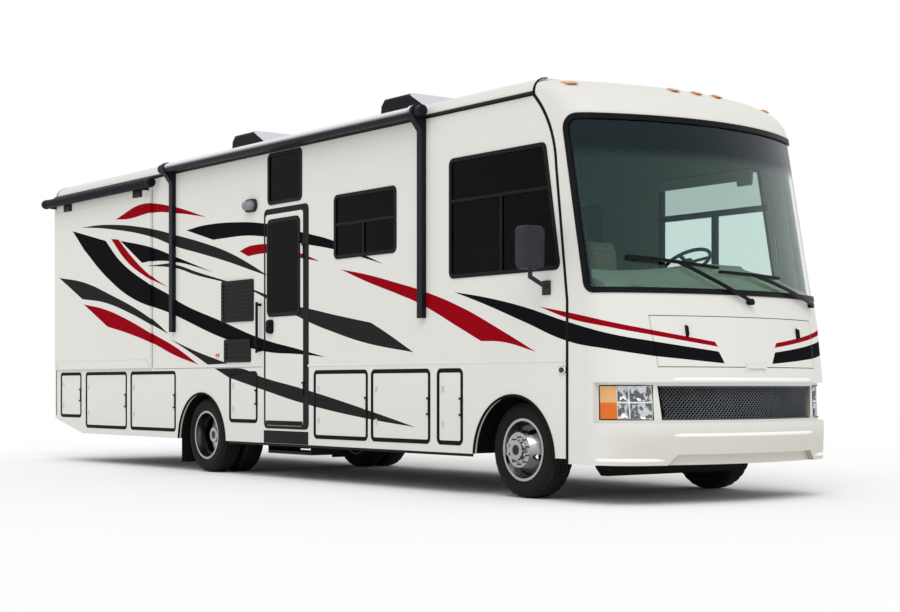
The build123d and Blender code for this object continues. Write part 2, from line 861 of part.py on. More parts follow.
# Chassis frame: two rails, cross members, floor bearers and the hitch receiver
rail_rear = back_x + 109
rail_front = fore(1157)
rail_sheet = 10
bearer_half = 540
rails = []
for side in (-1, 1):
    outer = side * (rail_half_spacing + rail_width)
    channel = block(rail_rear, rail_front, side * rail_half_spacing, outer, rail_z, rail_top)
    web_in = side * (rail_half_spacing - 10)
    web_out = outer - side * rail_sheet
    web_low = rail_z + rail_sheet
    hollow = block(rail_rear - 10, rail_front + 10, web_in, web_out, web_low, rail_top - rail_sheet)
    rails.append(channel - hollow)
chassis = rails[0] + rails[1]
cross_half = rail_half_spacing + rail_width - rail_sheet + 1
cross_low = rail_top - 100
cross_high = rail_top - rail_sheet + 1
cross_places = (rail_rear + 40, at(-2300), at(-900), at(900), at(2300), fore(-1883), fore(-1203))
for cross_x in cross_places + (rail_front - 40,):
    chassis = chassis + block(cross_x - 40, cross_x + 40, -cross_half, cross_half, cross_low, cross_high)
for bearer_x in (rail_rear + 200, at(-2300), at(-1000), at(1000), at(2300), fore(-1883), fore(-783)):
    chassis = chassis + block(bearer_x - 30, bearer_x + 30, -bearer_half, bearer_half, rail_top, floor_under)
save(chassis, "chassis_frame")

# Hitch receiver on drop plates under the rails
receiver = 64
socket = 51
receiver_x = back_x - 60
receiver_z = 455
hitch_rear = back_x + 129
hitch_front = hitch_rear + 80
hitch_half = rail_half_spacing + rail_width
plate_sheet = 20
wide = receiver / 2
narrow = socket / 2
hitch = block(hitch_rear, hitch_front, -hitch_half, hitch_half, receiver_z - 40, receiver_z + 40)
hitch = hitch + block(receiver_x, hitch_front, -wide, wide, receiver_z - wide, receiver_z + wide)
for side in (-1, 1):
    inner = side * (hitch_half - plate_sheet)
    hitch = hitch + block(hitch_rear, hitch_front, side * hitch_half, inner, receiver_z - 40, rail_z)
hitch = hitch - block(
    receiver_x - 10, hitch_front + 10, -narrow, narrow, receiver_z - narrow, receiver_z + narrow
)
pin_hole = 8
pin_x = receiver_x + 60
hitch = hitch - rod((pin_x, -wide - 10, receiver_z), (pin_x, wide + 10, receiver_z), pin_hole)
save(hitch, "hitch_receiver")

# Axles on leaf springs
spring_half_length = 660
spring_width = 70
spring_y = rail_half_spacing + rail_width / 2
hanger_z = 480


def leaf_spring(axle_x, side, seat_z):
    rear_end = axle_x - spring_half_length
    front_end = axle_x + spring_half_length
    top = ThreePointArc((rear_end, hanger_z), (axle_x, seat_z), (front_end, hanger_z))
    low_z = hanger_z - 18
    low = ThreePointArc((rear_end, low_z), (axle_x, seat_z - 60), (front_end, low_z))
    face = make_face((top, Line(top @ 1, low @ 1), low, Line(low @ 0, top @ 0)))
    y = side * spring_y
    leaf = side_prism(face, y + spring_width / 2, y - spring_width / 2)
    for end_x in (rear_end, front_end):
        leaf = leaf + block(end_x - 35, end_x + 35, y - 25, y + 25, hanger_z - 30, rail_z)
    return leaf


boss_radius = 42
boss_half = 58
beam_half = 45
kingpin_hole = kingpin_radius + pin_gap
beam_low = axle_z - beam_half
beam_high = axle_z + beam_half
web_half = 18
flange_sheet = 20
pocket_half = kingpin_half_spacing - 90
front_axle = block(
    front_x - beam_half, front_x + beam_half, -kingpin_half_spacing, kingpin_half_spacing, beam_low, beam_high
)
for way in (-1, 1):
    near = front_x + way * web_half
    far = front_x + way * (beam_half + 15)
    pocket_low = beam_low + flange_sheet
    pocket_high = beam_high - flange_sheet
    front_axle = front_axle - block(near, far, -pocket_half, pocket_half, pocket_low, pocket_high)
for side in (-1, 1):
    y = side * kingpin_half_spacing
    front_axle = front_axle + Pos(front_x, y, axle_z) * Cylinder(boss_radius, 2 * boss_half)
    front_axle = front_axle + leaf_spring(front_x, side, axle_z + 45)
for side in (-1, 1):
    y = side * kingpin_half_spacing
    front_axle = front_axle - Pos(front_x, y, axle_z) * Cylinder(kingpin_hole, 400)
save(front_axle, "front_axle")

ear_gap = 5
ear_sheet = 34
spindle_radius = 38
front_hub_out = 190
hub_wall = 14
spindle_end = front_track / 2 + front_hub_out - hub_wall - 10
ear_rear = front_x - boss_radius
ear_front = front_x + boss_radius
ear_end = -kingpin_half_spacing - 80
kingpin_length = 2 * (boss_half + ear_gap) + 20
knuckle = Pos(front_x, -kingpin_half_spacing, axle_z) * Cylinder(kingpin_radius, kingpin_length)
for level in (-1, 1):
    ear_z = axle_z + level * (boss_half + ear_gap + ear_sheet / 2)
    knuckle = knuckle + Pos(front_x, -kingpin_half_spacing, ear_z) * Cylinder(boss_radius, ear_sheet)
    ear_low = ear_z - ear_sheet / 2
    ear = block(ear_rear, ear_front, -kingpin_half_spacing, ear_end, ear_low, ear_low + ear_sheet)
    knuckle = knuckle + ear
ear_reach = boss_half + ear_gap + ear_sheet
knuckle = knuckle + block(ear_rear, ear_front, ear_end + 28, ear_end, axle_z - ear_reach, axle_z + ear_reach)
knuckle = knuckle + rod((front_x, ear_end + 10, axle_z), (front_x, -spindle_end, axle_z), spindle_radius)
save(knuckle, "knuckle_right")
save(other_side(knuckle), "knuckle_left")

rear_hub_end = 1060
tube_radius = 62
rear_axle = rod((rear_x, -rear_hub_end, axle_z), (rear_x, rear_hub_end, axle_z), spindle_radius)
rear_axle = rear_axle + rod((rear_x, -640, axle_z), (rear_x, 640, axle_z), tube_radius)
rear_axle = rear_axle + Pos(rear_x, 0, axle_z) * Rot(0, 90, 0) * Cylinder(175, 240)
for side in (-1, 1):
    rear_axle = rear_axle + leaf_spring(rear_x, side, axle_z + 90)
save(rear_axle, "rear_axle")

# Wheels: half sections drawn as distance out from the wheel plane, radius
rim_half = 100
flange_radius = 260
hub_hole = spindle_radius + pin_gap
lug_count = 10
lug_circle = 112
hand_hole_count = 5
hand_hole_circle = 188
hand_hole_radius = 27


def turned(points, y, side):
    face = polygon([(radius, y + side * out) for out, radius in points])
    return revolve(Plane.XY * face, Axis.Y)


def lugs_and_holes(body, y, side, face_out):
    for index in range(lug_count):
        angle = math.radians(360 / lug_count * index + 18)
        x = lug_circle * math.cos(angle)
        z = lug_circle * math.sin(angle)
        body = body + rod((x, y + side * (face_out - 5), z), (x, y + side * (face_out + 26), z), 14)
    for index in range(hand_hole_count):
        angle = math.radians(360 / hand_hole_count * index + 54)
        x = hand_hole_circle * math.cos(angle)
        z = hand_hole_circle * math.sin(angle)
        body = body - rod((x, y - 600, z), (x, y + 600, z), hand_hole_radius)
    return body


def tyre(axle_x, y):
    half = tyre_width / 2
    points = (
        (-rim_half, flange_radius),
        (-rim_half, rim_radius),
        (rim_half, rim_radius),
        (rim_half, flange_radius),
        (half - 2, rim_radius + 55),
        (half, rim_radius + 85),
        (half - 12, tyre_radius - 28),
        (half - 32, tyre_radius - 4),
        (half - 60, tyre_radius),
        (-half + 60, tyre_radius),
        (-half + 32, tyre_radius - 4),
        (-half + 12, tyre_radius - 28),
        (-half, rim_radius + 85),
        (-half + 2, rim_radius + 55),
    )
    return Pos(axle_x, 0, axle_z) * turned(points, y, 1)


def wheel(axle_x, y, side, disc_out, hub_out):
    rim_points = (
        (-rim_half, rim_radius),
        (-rim_half, flange_radius),
        (-rim_half - 12, flange_radius),
        (-rim_half - 12, rim_radius - 14),
        (-20, rim_radius - 34),
        (rim_half + 12, rim_radius - 14),
        (rim_half + 12, flange_radius),
        (rim_half, flange_radius),
        (rim_half, rim_radius),
    )
    disc_points = (
        (0, rim_radius - 40),
        (0, rim_radius - 22),
        (26, rim_radius - 22),
        (disc_out, lug_circle + 34),
        (disc_out, 88),
        (hub_out, 80),
        (hub_out, 0),
        (hub_out - hub_wall, 0),
        (hub_out - hub_wall, hub_hole),
        (disc_out - 60, hub_hole),
        (disc_out - 60, 88),
        (disc_out - 14, 88),
        (disc_out - 14, lug_circle + 30),
    )
    body = turned(rim_points, y, side) + turned(disc_points, y, side)
    return Pos(axle_x, 0, axle_z) * lugs_and_holes(body, y, side, disc_out)


def twin_wheels(axle_x, y, side, hub_out):
    middle = -twin_spacing / 2
    inner = -twin_spacing
    lip = rim_half + 12
    points = (
        (middle - 60, hub_hole),
        (middle - 60, 88),
        (middle - 12, 88),
        (middle - 12, 150),
        (middle - 57, rim_radius - 17),
        (inner, rim_radius - 30),
        (inner - lip, rim_radius - 14),
        (inner - lip, flange_radius),
        (inner - rim_half, flange_radius),
        (inner - rim_half, rim_radius),
        (inner + rim_half, rim_radius),
        (inner + rim_half, flange_radius),
        (inner + lip, flange_radius),
        (inner + lip, rim_radius - 8),
        (middle, 172),
        (-lip, rim_radius - 8),
        (-lip, flange_radius),
        (-rim_half, flange_radius),
        (-rim_half, rim_radius),
        (rim_half, rim_radius),
        (rim_half, flange_radius),
        (lip, flange_radius),
        (lip, rim_radius - 14),
        (0, rim_radius - 30),
        (middle + 57, rim_radius - 17),
        (middle + 12, 150),
        (middle + 12, 88),
        (hub_out, 80),
        (hub_out, 0),
        (hub_out - hub_wall, 0),
        (hub_out - hub_wall, hub_hole),
    )
    body = turned(points, y, side)
    return Pos(axle_x, 0, axle_z) * lugs_and_holes(body, y, side, middle + 12)


front_y = front_track / 2
rear_outer_y = rear_track_outer / 2
rear_inner_y = rear_outer_y - twin_spacing
for side, name in ((-1, "right"), (1, "left")):
    save(tyre(front_x, side * front_y), "tyre_front_" + name)
    save(wheel(front_x, side * front_y, side, 160, front_hub_out), "wheel_front_" + name)
    twin_tyres = [tyre(rear_x, side * rear_outer_y), tyre(rear_x, side * rear_inner_y)]
    save(apart(twin_tyres), "tyres_rear_" + name)
    save(twin_wheels(rear_x, side * rear_outer_y, side, 27), "wheels_rear_" + name)

# Wheel liners, the rear ones with mud flaps
liner_sheet = 8
liner_inner = 620
steer_room = 55
liners = []
for axle_x, room_added, flap in ((front_x, steer_room, False), (rear_x, 0, True)):
    liner_radius = arch_radius + room_added
    ring = Pos(axle_x, arch_centre_z) * (Circle(liner_radius + liner_sheet) - Circle(liner_radius))
    liner = side_prism(ring, -liner_inner, -inner_skirt)
    liner = liner - block(axle_x - 700, axle_x + 700, -half_width, -400, -400, skirt_z)
    if flap:
        flap_x = axle_x - arch_radius
        liner = liner + block(flap_x - liner_sheet, flap_x + 2, -1235, -740, 90, skirt_z + 30)
    liners.append(liner)
    liners.append(other_side(liner))
save(apart(liners), "wheel_liners")

# Engine block with gearbox and propeller shaft
engine_rear = fore(-303)
engine_front = fore(437)
shaft_z = 700
gearbox_rear = fore(-1023)
engine = block(engine_rear, engine_front, -300, 300, 550, 1300)
engine = engine + rod((gearbox_rear, 0, shaft_z), (engine_rear + 10, 0, shaft_z), 140)
engine = engine + rod((rear_x + 120, 0, axle_z), (gearbox_rear + 30, 0, shaft_z), 45)
engine = engine - (Pos(rear_x, 0, axle_z) * Box(240, 400, 400))
for side in (-1, 1):
    foot_end = side * (rail_half_spacing + 40)
    engine = engine + block(fore(-83), fore(17), side * 290, foot_end, rail_top, rail_top + 30)
save(engine, "engine")

tank_half = rail_half_spacing - 40
tank = block(at(-2335), at(-865), -tank_half, tank_half, 440, cross_low)
tank = fillet(tank.edges().filter_by(Axis.X), 60)
save(tank, "fuel_tank")

# Baggage bays, open to the skirt: rear station, front station, floor height, side
bay_rows = (
    (-3690, -2985, 512, -1),
    (-2955, -570, 384, -1),
    (585, 1215, 384, -1),
    (frame_front + 66, wheelbase - 643, 384, -1),
    (-2955, -570, 384, 1),
    (585, wheelbase - 643, 384, 1),
)
bay_sheet = 12
bay_inner = 560
bays = []
for rear, front, low, side in bay_rows:
    bay = block(at(rear), at(front), -inner_skirt, -bay_inner, low - bay_sheet, floor_under)
    bay_rear = at(rear) + bay_sheet
    bay_front = at(front) - bay_sheet
    bay = bay - block(bay_rear, bay_front, -half_width, -bay_inner - bay_sheet, low, floor_under - bay_sheet)
    bays.append(bay if side < 0 else other_side(bay))
save(apart(bays), "baggage_bays")

# Fold-out step, stowed under the door
step_rear = at(frame_rear) + 14
step_front = at(frame_front) - 19
step_low = 250
step_sheet = 12
step = block(step_rear, step_front, -1240, -860, frame_low - step_sheet, frame_low)
for end_x in (step_rear, step_front - step_sheet):
    step = step + block(end_x, end_x + step_sheet, -1240, -860, step_low, frame_low)
for tread in (step_low, step_low + 110):
    step = step + block(step_rear, step_front, -1240, -960, tread, tread + 30)
save(step, "entry_step")

# Vents and grab handle on the right wall
vent_proud = 14
vents = []
for rear, front, low, high, slots in ((454, 1111, 1594, 2027, 9), (512, 1053, 1174, 1413, 4)):
    vent = side_prism(rounded(at(rear), at(front), low, high, 20), -half_width, -half_width - vent_proud)
    pitch = (high - low - 60) / slots
    for index in range(slots):
        slot_z = low + 30 + pitch * (index + 0.5)
        slot_low = slot_z - pitch * 0.28
        slot_high = slot_z + pitch * 0.28
        slot_in = -half_width - 6
        vent = vent - block(at(rear) + 40, at(front) - 40, slot_in, slot_in - 50, slot_low, slot_high)
    vents.append(vent)
handle_x = at(frame_rear) - 66
handle_y = -half_width - 50
handle = rod((handle_x, handle_y, 1264), (handle_x, handle_y, 1780), 14)
for handle_z in (1290, 1754):
    handle = handle + rod((handle_x, handle_y, handle_z), (handle_x, -half_width, handle_z), 14)
vents.append(handle)
save(apart(vents), "wall_fittings")

side_marker = block(at(334), at(394), -half_width, -half_width - 14, 1240, 1266)
porch_lamp = side_prism(rounded(at(978), at(1100), 2738, 2822, 40), -half_width, -half_width - 34)
porch_lamp = fillet(porch_lamp.faces().sort_by(Axis.Y)[0].edges(), 22)
markers.append(side_marker)
markers.append(other_side(side_marker))
markers.append(porch_lamp)
save(apart(markers), "marker_lamps")

tail_lamps = []
for side in (-1, 1):
    lamp_plane = Plane((back_x, side * 1130, 1010), x_dir=(0, 1, 0), z_dir=(-1, 0, 0))
    lamp = extrude(lamp_plane * RectangleRounded(150, 420, 30), 25)
    tail_lamps.append(fillet(lamp.faces().sort_by(Axis.X)[0].edges(), 10))
save(apart(tail_lamps), "tail_lamps")

# Awning: roller on two arms
awning_y = -half_width - 98
awning_z = eave_z + 52
awning_radius = 50
arm_half_width = 38
arm_depth = 48
arm_low = 1525
head_radius = 62
rear_arm_x = at(-620)
front_arm_x = at(middle_front) + 0.522 * (cab_rear - middle_front)
awning = rod((rear_arm_x - 115, awning_y, awning_z), (front_arm_x + 123, awning_y, awning_z), awning_radius)
for arm_x in (rear_arm_x, front_arm_x):
    near = arm_x - arm_half_width
    far = arm_x + arm_half_width
    awning = awning + block(near, far, -half_width, -half_width - arm_depth, arm_low, eave_z - 10)
    awning = awning + rod((near, awning_y, awning_z), (far, awning_y, awning_z), head_radius)
    head_points = (
        (-half_width - 14, eave_z + 40),
        (-half_width - 14, eave_z - 110),
        (-half_width - arm_depth, eave_z - 110),
        (awning_y - 45, awning_z - 42),
        (awning_y, awning_z + 20),
    )
    awning = awning + extrude(nose_plane(near) * polygon(head_points), 2 * arm_half_width)
save(awning, "awning")

# Roof air units: upright louvred back, flat top, long slope to the front
air_half_width = 350
air_length = 1000
air_high = roof_z + 390
air_slots = 7
airs = []
for air_rear in (at(-1030), at(1990)):
    air_front = air_rear + air_length
    air_points = (
        (air_rear, roof_z),
        (air_rear + 40, air_high - 60),
        (air_rear + 100, air_high),
        (air_rear + 560, air_high),
        (air_front - 60, roof_z + 170),
        (air_front, roof_z),
    )
    air = side_prism(polygon(air_points), air_half_width, -air_half_width)
    crown = air.faces().filter_by(Axis.Y)
    air = fillet([edge for face in crown for edge in face.edges() if edge.center().Z > roof_z + 1], 45)
    for index in range(air_slots):
        slot_z = roof_z + 90 + 32 * index
        air = air - block(air_rear - 50, air_rear + 65, -250, 250, slot_z, slot_z + 16)
    airs.append(air - roof)
save(apart(airs), "roof_air")

# Mirrors on the walls
mirror_x = fore(437)
mirror_y = -half_width - 225
mirror_foot = (mirror_x - 5, -half_width, 1712)
head_face = Pos(mirror_y, 2022) * RectangleRounded(225, 345, 55)
head = extrude(nose_plane(mirror_x) * head_face, 115)
head = fillet(head.faces().sort_by(Axis.X)[-1].edges(), 30)
elbow = (mirror_x + 50, mirror_y, 1790)
mirror_tube = 18
side_mirror = head + rod(mirror_foot, elbow, mirror_tube) + Pos(*elbow) * Sphere(mirror_tube)
side_mirror = side_mirror + rod(elbow, (mirror_x + 55, mirror_y, 1880), mirror_tube)
foot_rear = mirror_x - 50
foot_front = mirror_x + 40
side_mirror = side_mirror + block(foot_rear, foot_front, -half_width, -half_width - 16, 1655, 1770)
side_mirror = side_mirror - block(foot_rear - 150, foot_front + 150, -half_width, 0, 1000, 2400)
save(Compound(children=[side_mirror.solids()[0], other_side(side_mirror).solids()[0]]), "mirrors")

# Rear ladder
ladder_y = 560
ladder_half = 200
ladder_low = 800
rung_pitch = 310
tube = 13
ladder_x = back_x - ladder_reach + tube
ladder = None
for side in (-1, 1):
    y = ladder_y + side * ladder_half
    rail = rod((ladder_x, y, ladder_low), (ladder_x, y, eave_z), tube)
    for level in (ladder_low + 30, (ladder_low + eave_z) / 2, eave_z - 40):
        rail = rail + rod((ladder_x, y, level), (back_x, y, level), tube)
    ladder = rail if ladder is None else ladder + rail
for index in range(int((eave_z - ladder_low - 100) / rung_pitch) + 1):
    level = ladder_low + 100 + rung_pitch * index
    rung_start = (ladder_x, ladder_y - ladder_half, level)
    ladder = ladder + rod(rung_start, (ladder_x, ladder_y + ladder_half, level), tube - 2)
save(ladder, "ladder")
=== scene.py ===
import bmesh
import bpy
import math
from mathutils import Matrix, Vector


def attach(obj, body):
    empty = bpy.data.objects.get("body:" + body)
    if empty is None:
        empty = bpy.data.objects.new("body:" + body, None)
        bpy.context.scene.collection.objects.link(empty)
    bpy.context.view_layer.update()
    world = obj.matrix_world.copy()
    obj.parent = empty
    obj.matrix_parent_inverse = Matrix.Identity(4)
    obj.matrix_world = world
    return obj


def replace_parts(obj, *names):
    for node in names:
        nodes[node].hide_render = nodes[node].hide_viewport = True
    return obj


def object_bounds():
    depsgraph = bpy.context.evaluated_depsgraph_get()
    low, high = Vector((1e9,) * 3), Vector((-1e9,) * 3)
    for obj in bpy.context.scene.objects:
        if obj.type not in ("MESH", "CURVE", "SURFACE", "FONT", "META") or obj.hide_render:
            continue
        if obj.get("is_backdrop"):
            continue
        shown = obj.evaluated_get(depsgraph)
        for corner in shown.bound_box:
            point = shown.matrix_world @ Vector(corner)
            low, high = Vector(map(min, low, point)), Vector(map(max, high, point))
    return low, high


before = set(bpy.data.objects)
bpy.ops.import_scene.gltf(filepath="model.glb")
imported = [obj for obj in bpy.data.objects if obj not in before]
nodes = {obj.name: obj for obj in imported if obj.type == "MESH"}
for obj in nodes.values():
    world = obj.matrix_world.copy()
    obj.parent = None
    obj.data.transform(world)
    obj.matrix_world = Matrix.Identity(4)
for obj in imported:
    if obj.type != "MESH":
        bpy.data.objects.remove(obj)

scene = bpy.context.scene
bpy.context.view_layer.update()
coach = dict(skin=1.28, frontAxle=3.8375, rearAxle=-1.4455, axleHeight=0.4)  # metres; skin: half the width
sides = ((-1, "Right"), (1, "Left"))  # -1 is the door side
print("frame loaded,", len(nodes), "nodes")


# Shader maths
class Value:
    def __init__(self, finish, socket):
        self.finish, self.socket = finish, socket

    def maths(self, operation, first, second=None):
        inputs = {0: first} if second is None else {0: first, 1: second}
        return self.finish.node("ShaderNodeMath", {"operation": operation}, inputs)

    def __add__(self, other):
        return self.maths("ADD", self, other)

    def __sub__(self, other):
        return self.maths("SUBTRACT", self, other)

    def __rsub__(self, other):
        return self.maths("SUBTRACT", other, self)

    def __mul__(self, other):
        return self.maths("MULTIPLY", self, other)

    def __truediv__(self, other):
        return self.maths("DIVIDE", self, other)

    def __rtruediv__(self, other):
        return self.maths("DIVIDE", other, self)

    def __pow__(self, other):
        return self.maths("POWER", self, other)

    def __gt__(self, other):
        return self.maths("GREATER_THAN", self, other)

    def __lt__(self, other):
        return self.maths("LESS_THAN", self, other)

    def __or__(self, other):
        return self.maths("MAXIMUM", self, other)

    def __abs__(self):
        return self.maths("ABSOLUTE", self)

    def sine(self):
        return self.maths("SINE", self)

    def fraction(self):
        return self.maths("FRACT", self)

    def sign(self):
        return self.maths("SIGN", self)

    def root(self):
        return self.maths("SQRT", self)

    __radd__ = __add__
    __rmul__ = __mul__
    __ror__ = __or__


class Finish:
    def __init__(self, name, **constants):
        self.material = bpy.data.materials.new(name)
        self.material.use_nodes = True
        self.tree = self.material.node_tree
        self.shader = self.tree.nodes["Principled BSDF"]
        for key, value in constants.items():
            self.shader.inputs[key.replace("_", " ")].default_value = value

    def put(self, socket, value):
        if isinstance(value, Value):
            self.tree.links.new(value.socket, socket)
        else:
            socket.default_value = value

    def node(self, kind, settings=None, inputs=None, out=0):
        made = self.tree.nodes.new(kind)
        for key, value in (settings or {}).items():
            if key == "points":
                curve = made.mapping.curves[0]
                curve.points[0].location = value[0]
                curve.points[1].location = value[-1]
                for point in value[1:-1]:
                    curve.points.new(*point)
                for point in curve.points:
                    point.handle_type = "AUTO_CLAMPED"
                made.mapping.update()
            elif key == "sharp":  # points joined by straight lines
                for index in value:
                    made.mapping.curves[0].points[index].handle_type = "VECTOR"
                made.mapping.update()
            else:
                setattr(made, key, value)
        for key, value in (inputs or {}).items():
            self.put(made.inputs[key], value)
        return Value(self, made.outputs[out])

    def spot(self):
        place = self.node("ShaderNodeTexCoord", out="Object")
        split = self.node("ShaderNodeSeparateXYZ", None, {0: place}).socket.node
        return [place] + [Value(self, split.outputs[i]) for i in range(3)]

    def facing(self):
        way = self.node("ShaderNodeTexCoord", out="Normal")
        split = self.node("ShaderNodeSeparateXYZ", None, {0: way}).socket.node
        return [Value(self, split.outputs[i]) for i in range(3)]

    def stretched(self, place, scale):
        return self.node("ShaderNodeVectorMath", {"operation": "MULTIPLY"}, {0: place, 1: scale})

    def noise(self, place, scale, detail=3.0, rough=0.55):
        return self.node("ShaderNodeTexNoise", None, {"Vector": place, "Scale": scale, "Detail": detail,
                                                      "Roughness": rough})

    def fade(self, value, low, high, first=0.0, last=1.0):  # smooth step from first to last
        return self.node("ShaderNodeMapRange", {"interpolation_type": "SMOOTHSTEP"},
                         {0: value, 1: low, 2: high, 3: first, 4: last})

    def mix(self, share, first, second):
        return self.node("ShaderNodeMix", {"data_type": "RGBA"}, {0: share, 6: first, 7: second}, out=2)

    def set(self, **inputs):
        for key, value in inputs.items():
            self.put(self.shader.inputs[key.replace("_", " ")], value)
        return self

    def bump(self, height, strength, distance):
        normal = self.node("ShaderNodeBump", None,
                           {"Height": height, "Strength": strength, "Distance": distance})
        return self.set(Normal=normal)


def tone(r, g, b):  # screen colour 0-255 to a shader colour
    return tuple((c / 255 / 12.92 if c < 11 else ((c / 255 + 0.055) / 1.055) ** 2.4)
                 for c in (r, g, b)) + (1.0,)


# Body paint with the swept stripes; x is taken round the nose so that walls and cap share it
# The dust tone serves the road film and also the painted shade low on the bumper's front
paint = dict(
    white=tone(226, 225, 220), dustAndShade=tone(196, 190, 178), lining=tone(182, 178, 166),
    charcoal=tone(42, 41, 42), black=tone(20, 20, 22), red=tone(148, 7, 22),
    low=0.4, high=3.2, cutFrom=6.0, farFrom=5.4, farShare=0.12,
)
stripes = (  # colour, upper edge, lower edge
    ("red", [(-3.509, 2.887), (-2.784, 3.007), (-2.152, 2.931), (-1.33, 2.74)],
     [(-3.509, 2.887), (-3.16, 2.865), (-2.6, 2.891), (-1.978, 2.834), (-1.33, 2.74)]),
    ("charcoal", [(-4.471, 2.868), (-3.699, 2.84), (-2.6, 2.709), (-1.978, 2.588), (-1.476, 2.485),
                  (-0.899, 2.344), (-0.418, 2.184), (-0.043, 2.036)],
     [(-4.471, 2.868), (-3.748, 2.796), (-2.647, 2.628), (-1.978, 2.461), (-1.476, 2.36), (-0.899, 2.239),
      (-0.418, 2.125), (-0.043, 2.036)]),
    ("black", [(-4.698, 2.839), (-3.772, 2.655), (-3.353, 2.376), (-2.691, 2.104), (-2.152, 1.933),
               (-1.95, 1.855), (-1.01, 1.614), (-0.145, 1.402), (0.512, 1.292), (1.014, 1.205)],
     [(-4.698, 2.839), (-4.365, 2.584), (-3.748, 2.224), (-3.065, 1.941), (-2.152, 1.737), (-1.95, 1.686),
      (-1.01, 1.442), (-0.145, 1.281), (0.619, 1.235), (1.014, 1.205)]),
    ("red", [(-3.624, 2.666), (-3.427, 2.646), (-3.065, 2.412), (-2.6, 2.173), (-2.207, 2.028)],
     [(-3.624, 2.666), (-3.256, 2.403), (-2.784, 2.193), (-2.207, 2.028)]),
    ("black", [(-3.379, 2.628), (-2.6, 2.499), (-1.978, 2.344), (-1.146, 2.129)],
     [(-3.379, 2.628), (-2.821, 2.334), (-2.6, 2.341), (-1.978, 2.293), (-1.554, 2.218), (-1.146, 2.129)]),
    ("charcoal", [(-2.716, 2.296), (-2.241, 2.297), (-1.978, 2.261), (-1.554, 2.166), (-0.948, 2.042),
                  (-0.35, 1.917), (-0.07, 1.849)],
     [(-2.716, 2.296), (-2.241, 2.259), (-1.978, 2.224), (-1.554, 2.129), (-0.948, 2.022), (-0.35, 1.897),
      (-0.07, 1.808)]),
    ("black", [(-1.786, 2.632), (-1.349, 2.657), (-0.754, 2.638), (-0.116, 2.574), (0.534, 2.445),
               (1.164, 2.307), (1.626, 2.155), (1.751, 2.116), (1.975, 2.041)],
     [(-1.786, 2.632), (-1.187, 2.486), (-0.754, 2.486), (-0.116, 2.443), (0.534, 2.331), (1.164, 2.227),
      (1.626, 2.124), (1.975, 2.041)]),
    ("red", [(-0.628, 2.327), (-0.449, 2.364), (-0.252, 2.372), (-0.043, 2.359), (0.534, 2.238),
             (0.917, 2.128)],
     [(-0.628, 2.327), (-0.449, 2.264), (-0.252, 2.273), (-0.043, 2.274), (0.534, 2.187), (0.917, 2.128)]),
    ("charcoal", [(-5.099, 2.284), (-4.365, 2.188), (-3.748, 2.037), (-2.592, 1.686), (-2.198, 1.507)],
     [(-5.099, 2.284), (-4.42, 1.988), (-3.78, 1.918), (-3.072, 1.757), (-2.592, 1.62), (-2.198, 1.507)]),
    ("red", [(-4.382, 1.924), (-3.78, 1.838), (-3.17, 1.693), (-2.592, 1.523), (-2.039, 1.36),
             (-1.505, 1.158)],
     [(-4.382, 1.924), (-3.718, 1.631), (-3.17, 1.538), (-2.592, 1.415), (-2.039, 1.265), (-1.505, 1.158)]),
    ("charcoal", [(-2.152, 1.448), (-1.642, 1.322), (-0.868, 1.163)],
     [(-2.152, 1.448), (-1.557, 1.248), (-1.301, 1.156), (-0.868, 1.163)]),
    ("charcoal", [(-1.155, 1.115), (-0.688, 1.115), (-0.145, 1.013), (0.619, 0.898), (1.697, 0.71),
                  (2.48, 0.561)],
     [(-1.155, 1.115), (-0.847, 1.016), (-0.145, 0.887), (0.619, 0.757), (1.697, 0.627), (2.48, 0.561)]),
    ("charcoal", [(0.484, 1.712), (0.71, 1.681), (1.137, 1.61), (1.782, 1.511), (2.018, 1.416),
                  (2.452, 1.226)],
     [(0.484, 1.62), (0.725, 1.547), (1.137, 1.444), (1.697, 1.326), (2.452, 1.226)]),
    ("red", [(1.273, 2.031), (1.697, 1.961), (2.226, 1.85), (2.529, 1.781), (3.133, 1.605), (3.705, 1.382),
             (4.127, 1.204)],
     [(1.273, 2.031), (1.697, 1.897), (2.226, 1.75), (2.529, 1.66), (3.133, 1.42), (3.415, 1.305),
      (3.705, 1.291), (4.127, 1.204)]),
    ("black", [(3.043, 1.735), (3.48, 1.67), (3.976, 1.572), (4.53, 1.43), (4.993, 1.332), (5.483, 1.272),
               (6.187, 1.197), (6.253, 1.104)],
     [(3.043, 1.735), (3.48, 1.609), (3.976, 1.451), (4.53, 1.277), (4.993, 1.21), (5.484, 1.157),
      (6.253, 1.104)]),
    ("red", [(4.161, 1.568), (4.542, 1.504), (4.992, 1.424), (5.483, 1.357), (6.144, 1.274), (6.176, 1.235)],
     [(4.161, 1.568), (4.542, 1.457), (4.993, 1.381), (5.483, 1.318), (6.176, 1.235)]),
)
# Corners along the edges
sharpAt = ((-3.772, 2.655), (-3.427, 2.646), (-2.821, 2.334), (-1.187, 2.486), (-0.449, 2.264),
           (-4.365, 2.584), (-4.42, 1.988), (-3.718, 1.631), (-1.301, 1.156), (-0.847, 1.016),
           (1.782, 1.511), (3.415, 1.305))


def stripeMasks(finish, along, height):
    masks = {}
    rise = (height - paint["low"]) / (paint["high"] - paint["low"])
    for colour, upper, lower in stripes:
        start, end = upper[0][0], upper[-1][0]
        run = (along - start) / (end - start)
        edges = []
        for edge in (upper, lower):
            points = [((x - start) / (end - start), (z - paint["low"]) / (paint["high"] - paint["low"]))
                      for x, z in edge]
            tail = 3 if end > paint["cutFrom"] else 2
            sharp = [k for k, point in enumerate(edge) if point in sharpAt or k > len(edge) - tail]
            edges.append(finish.node("ShaderNodeFloatCurve", {"points": points, "sharp": sharp},
                                     {"Value": run}))
        mask = (rise < edges[0]) * (rise > edges[1]) * (run > 0.0) * (run < 1.0)
        masks[colour] = mask if colour not in masks else masks[colour] | mask
    return masks


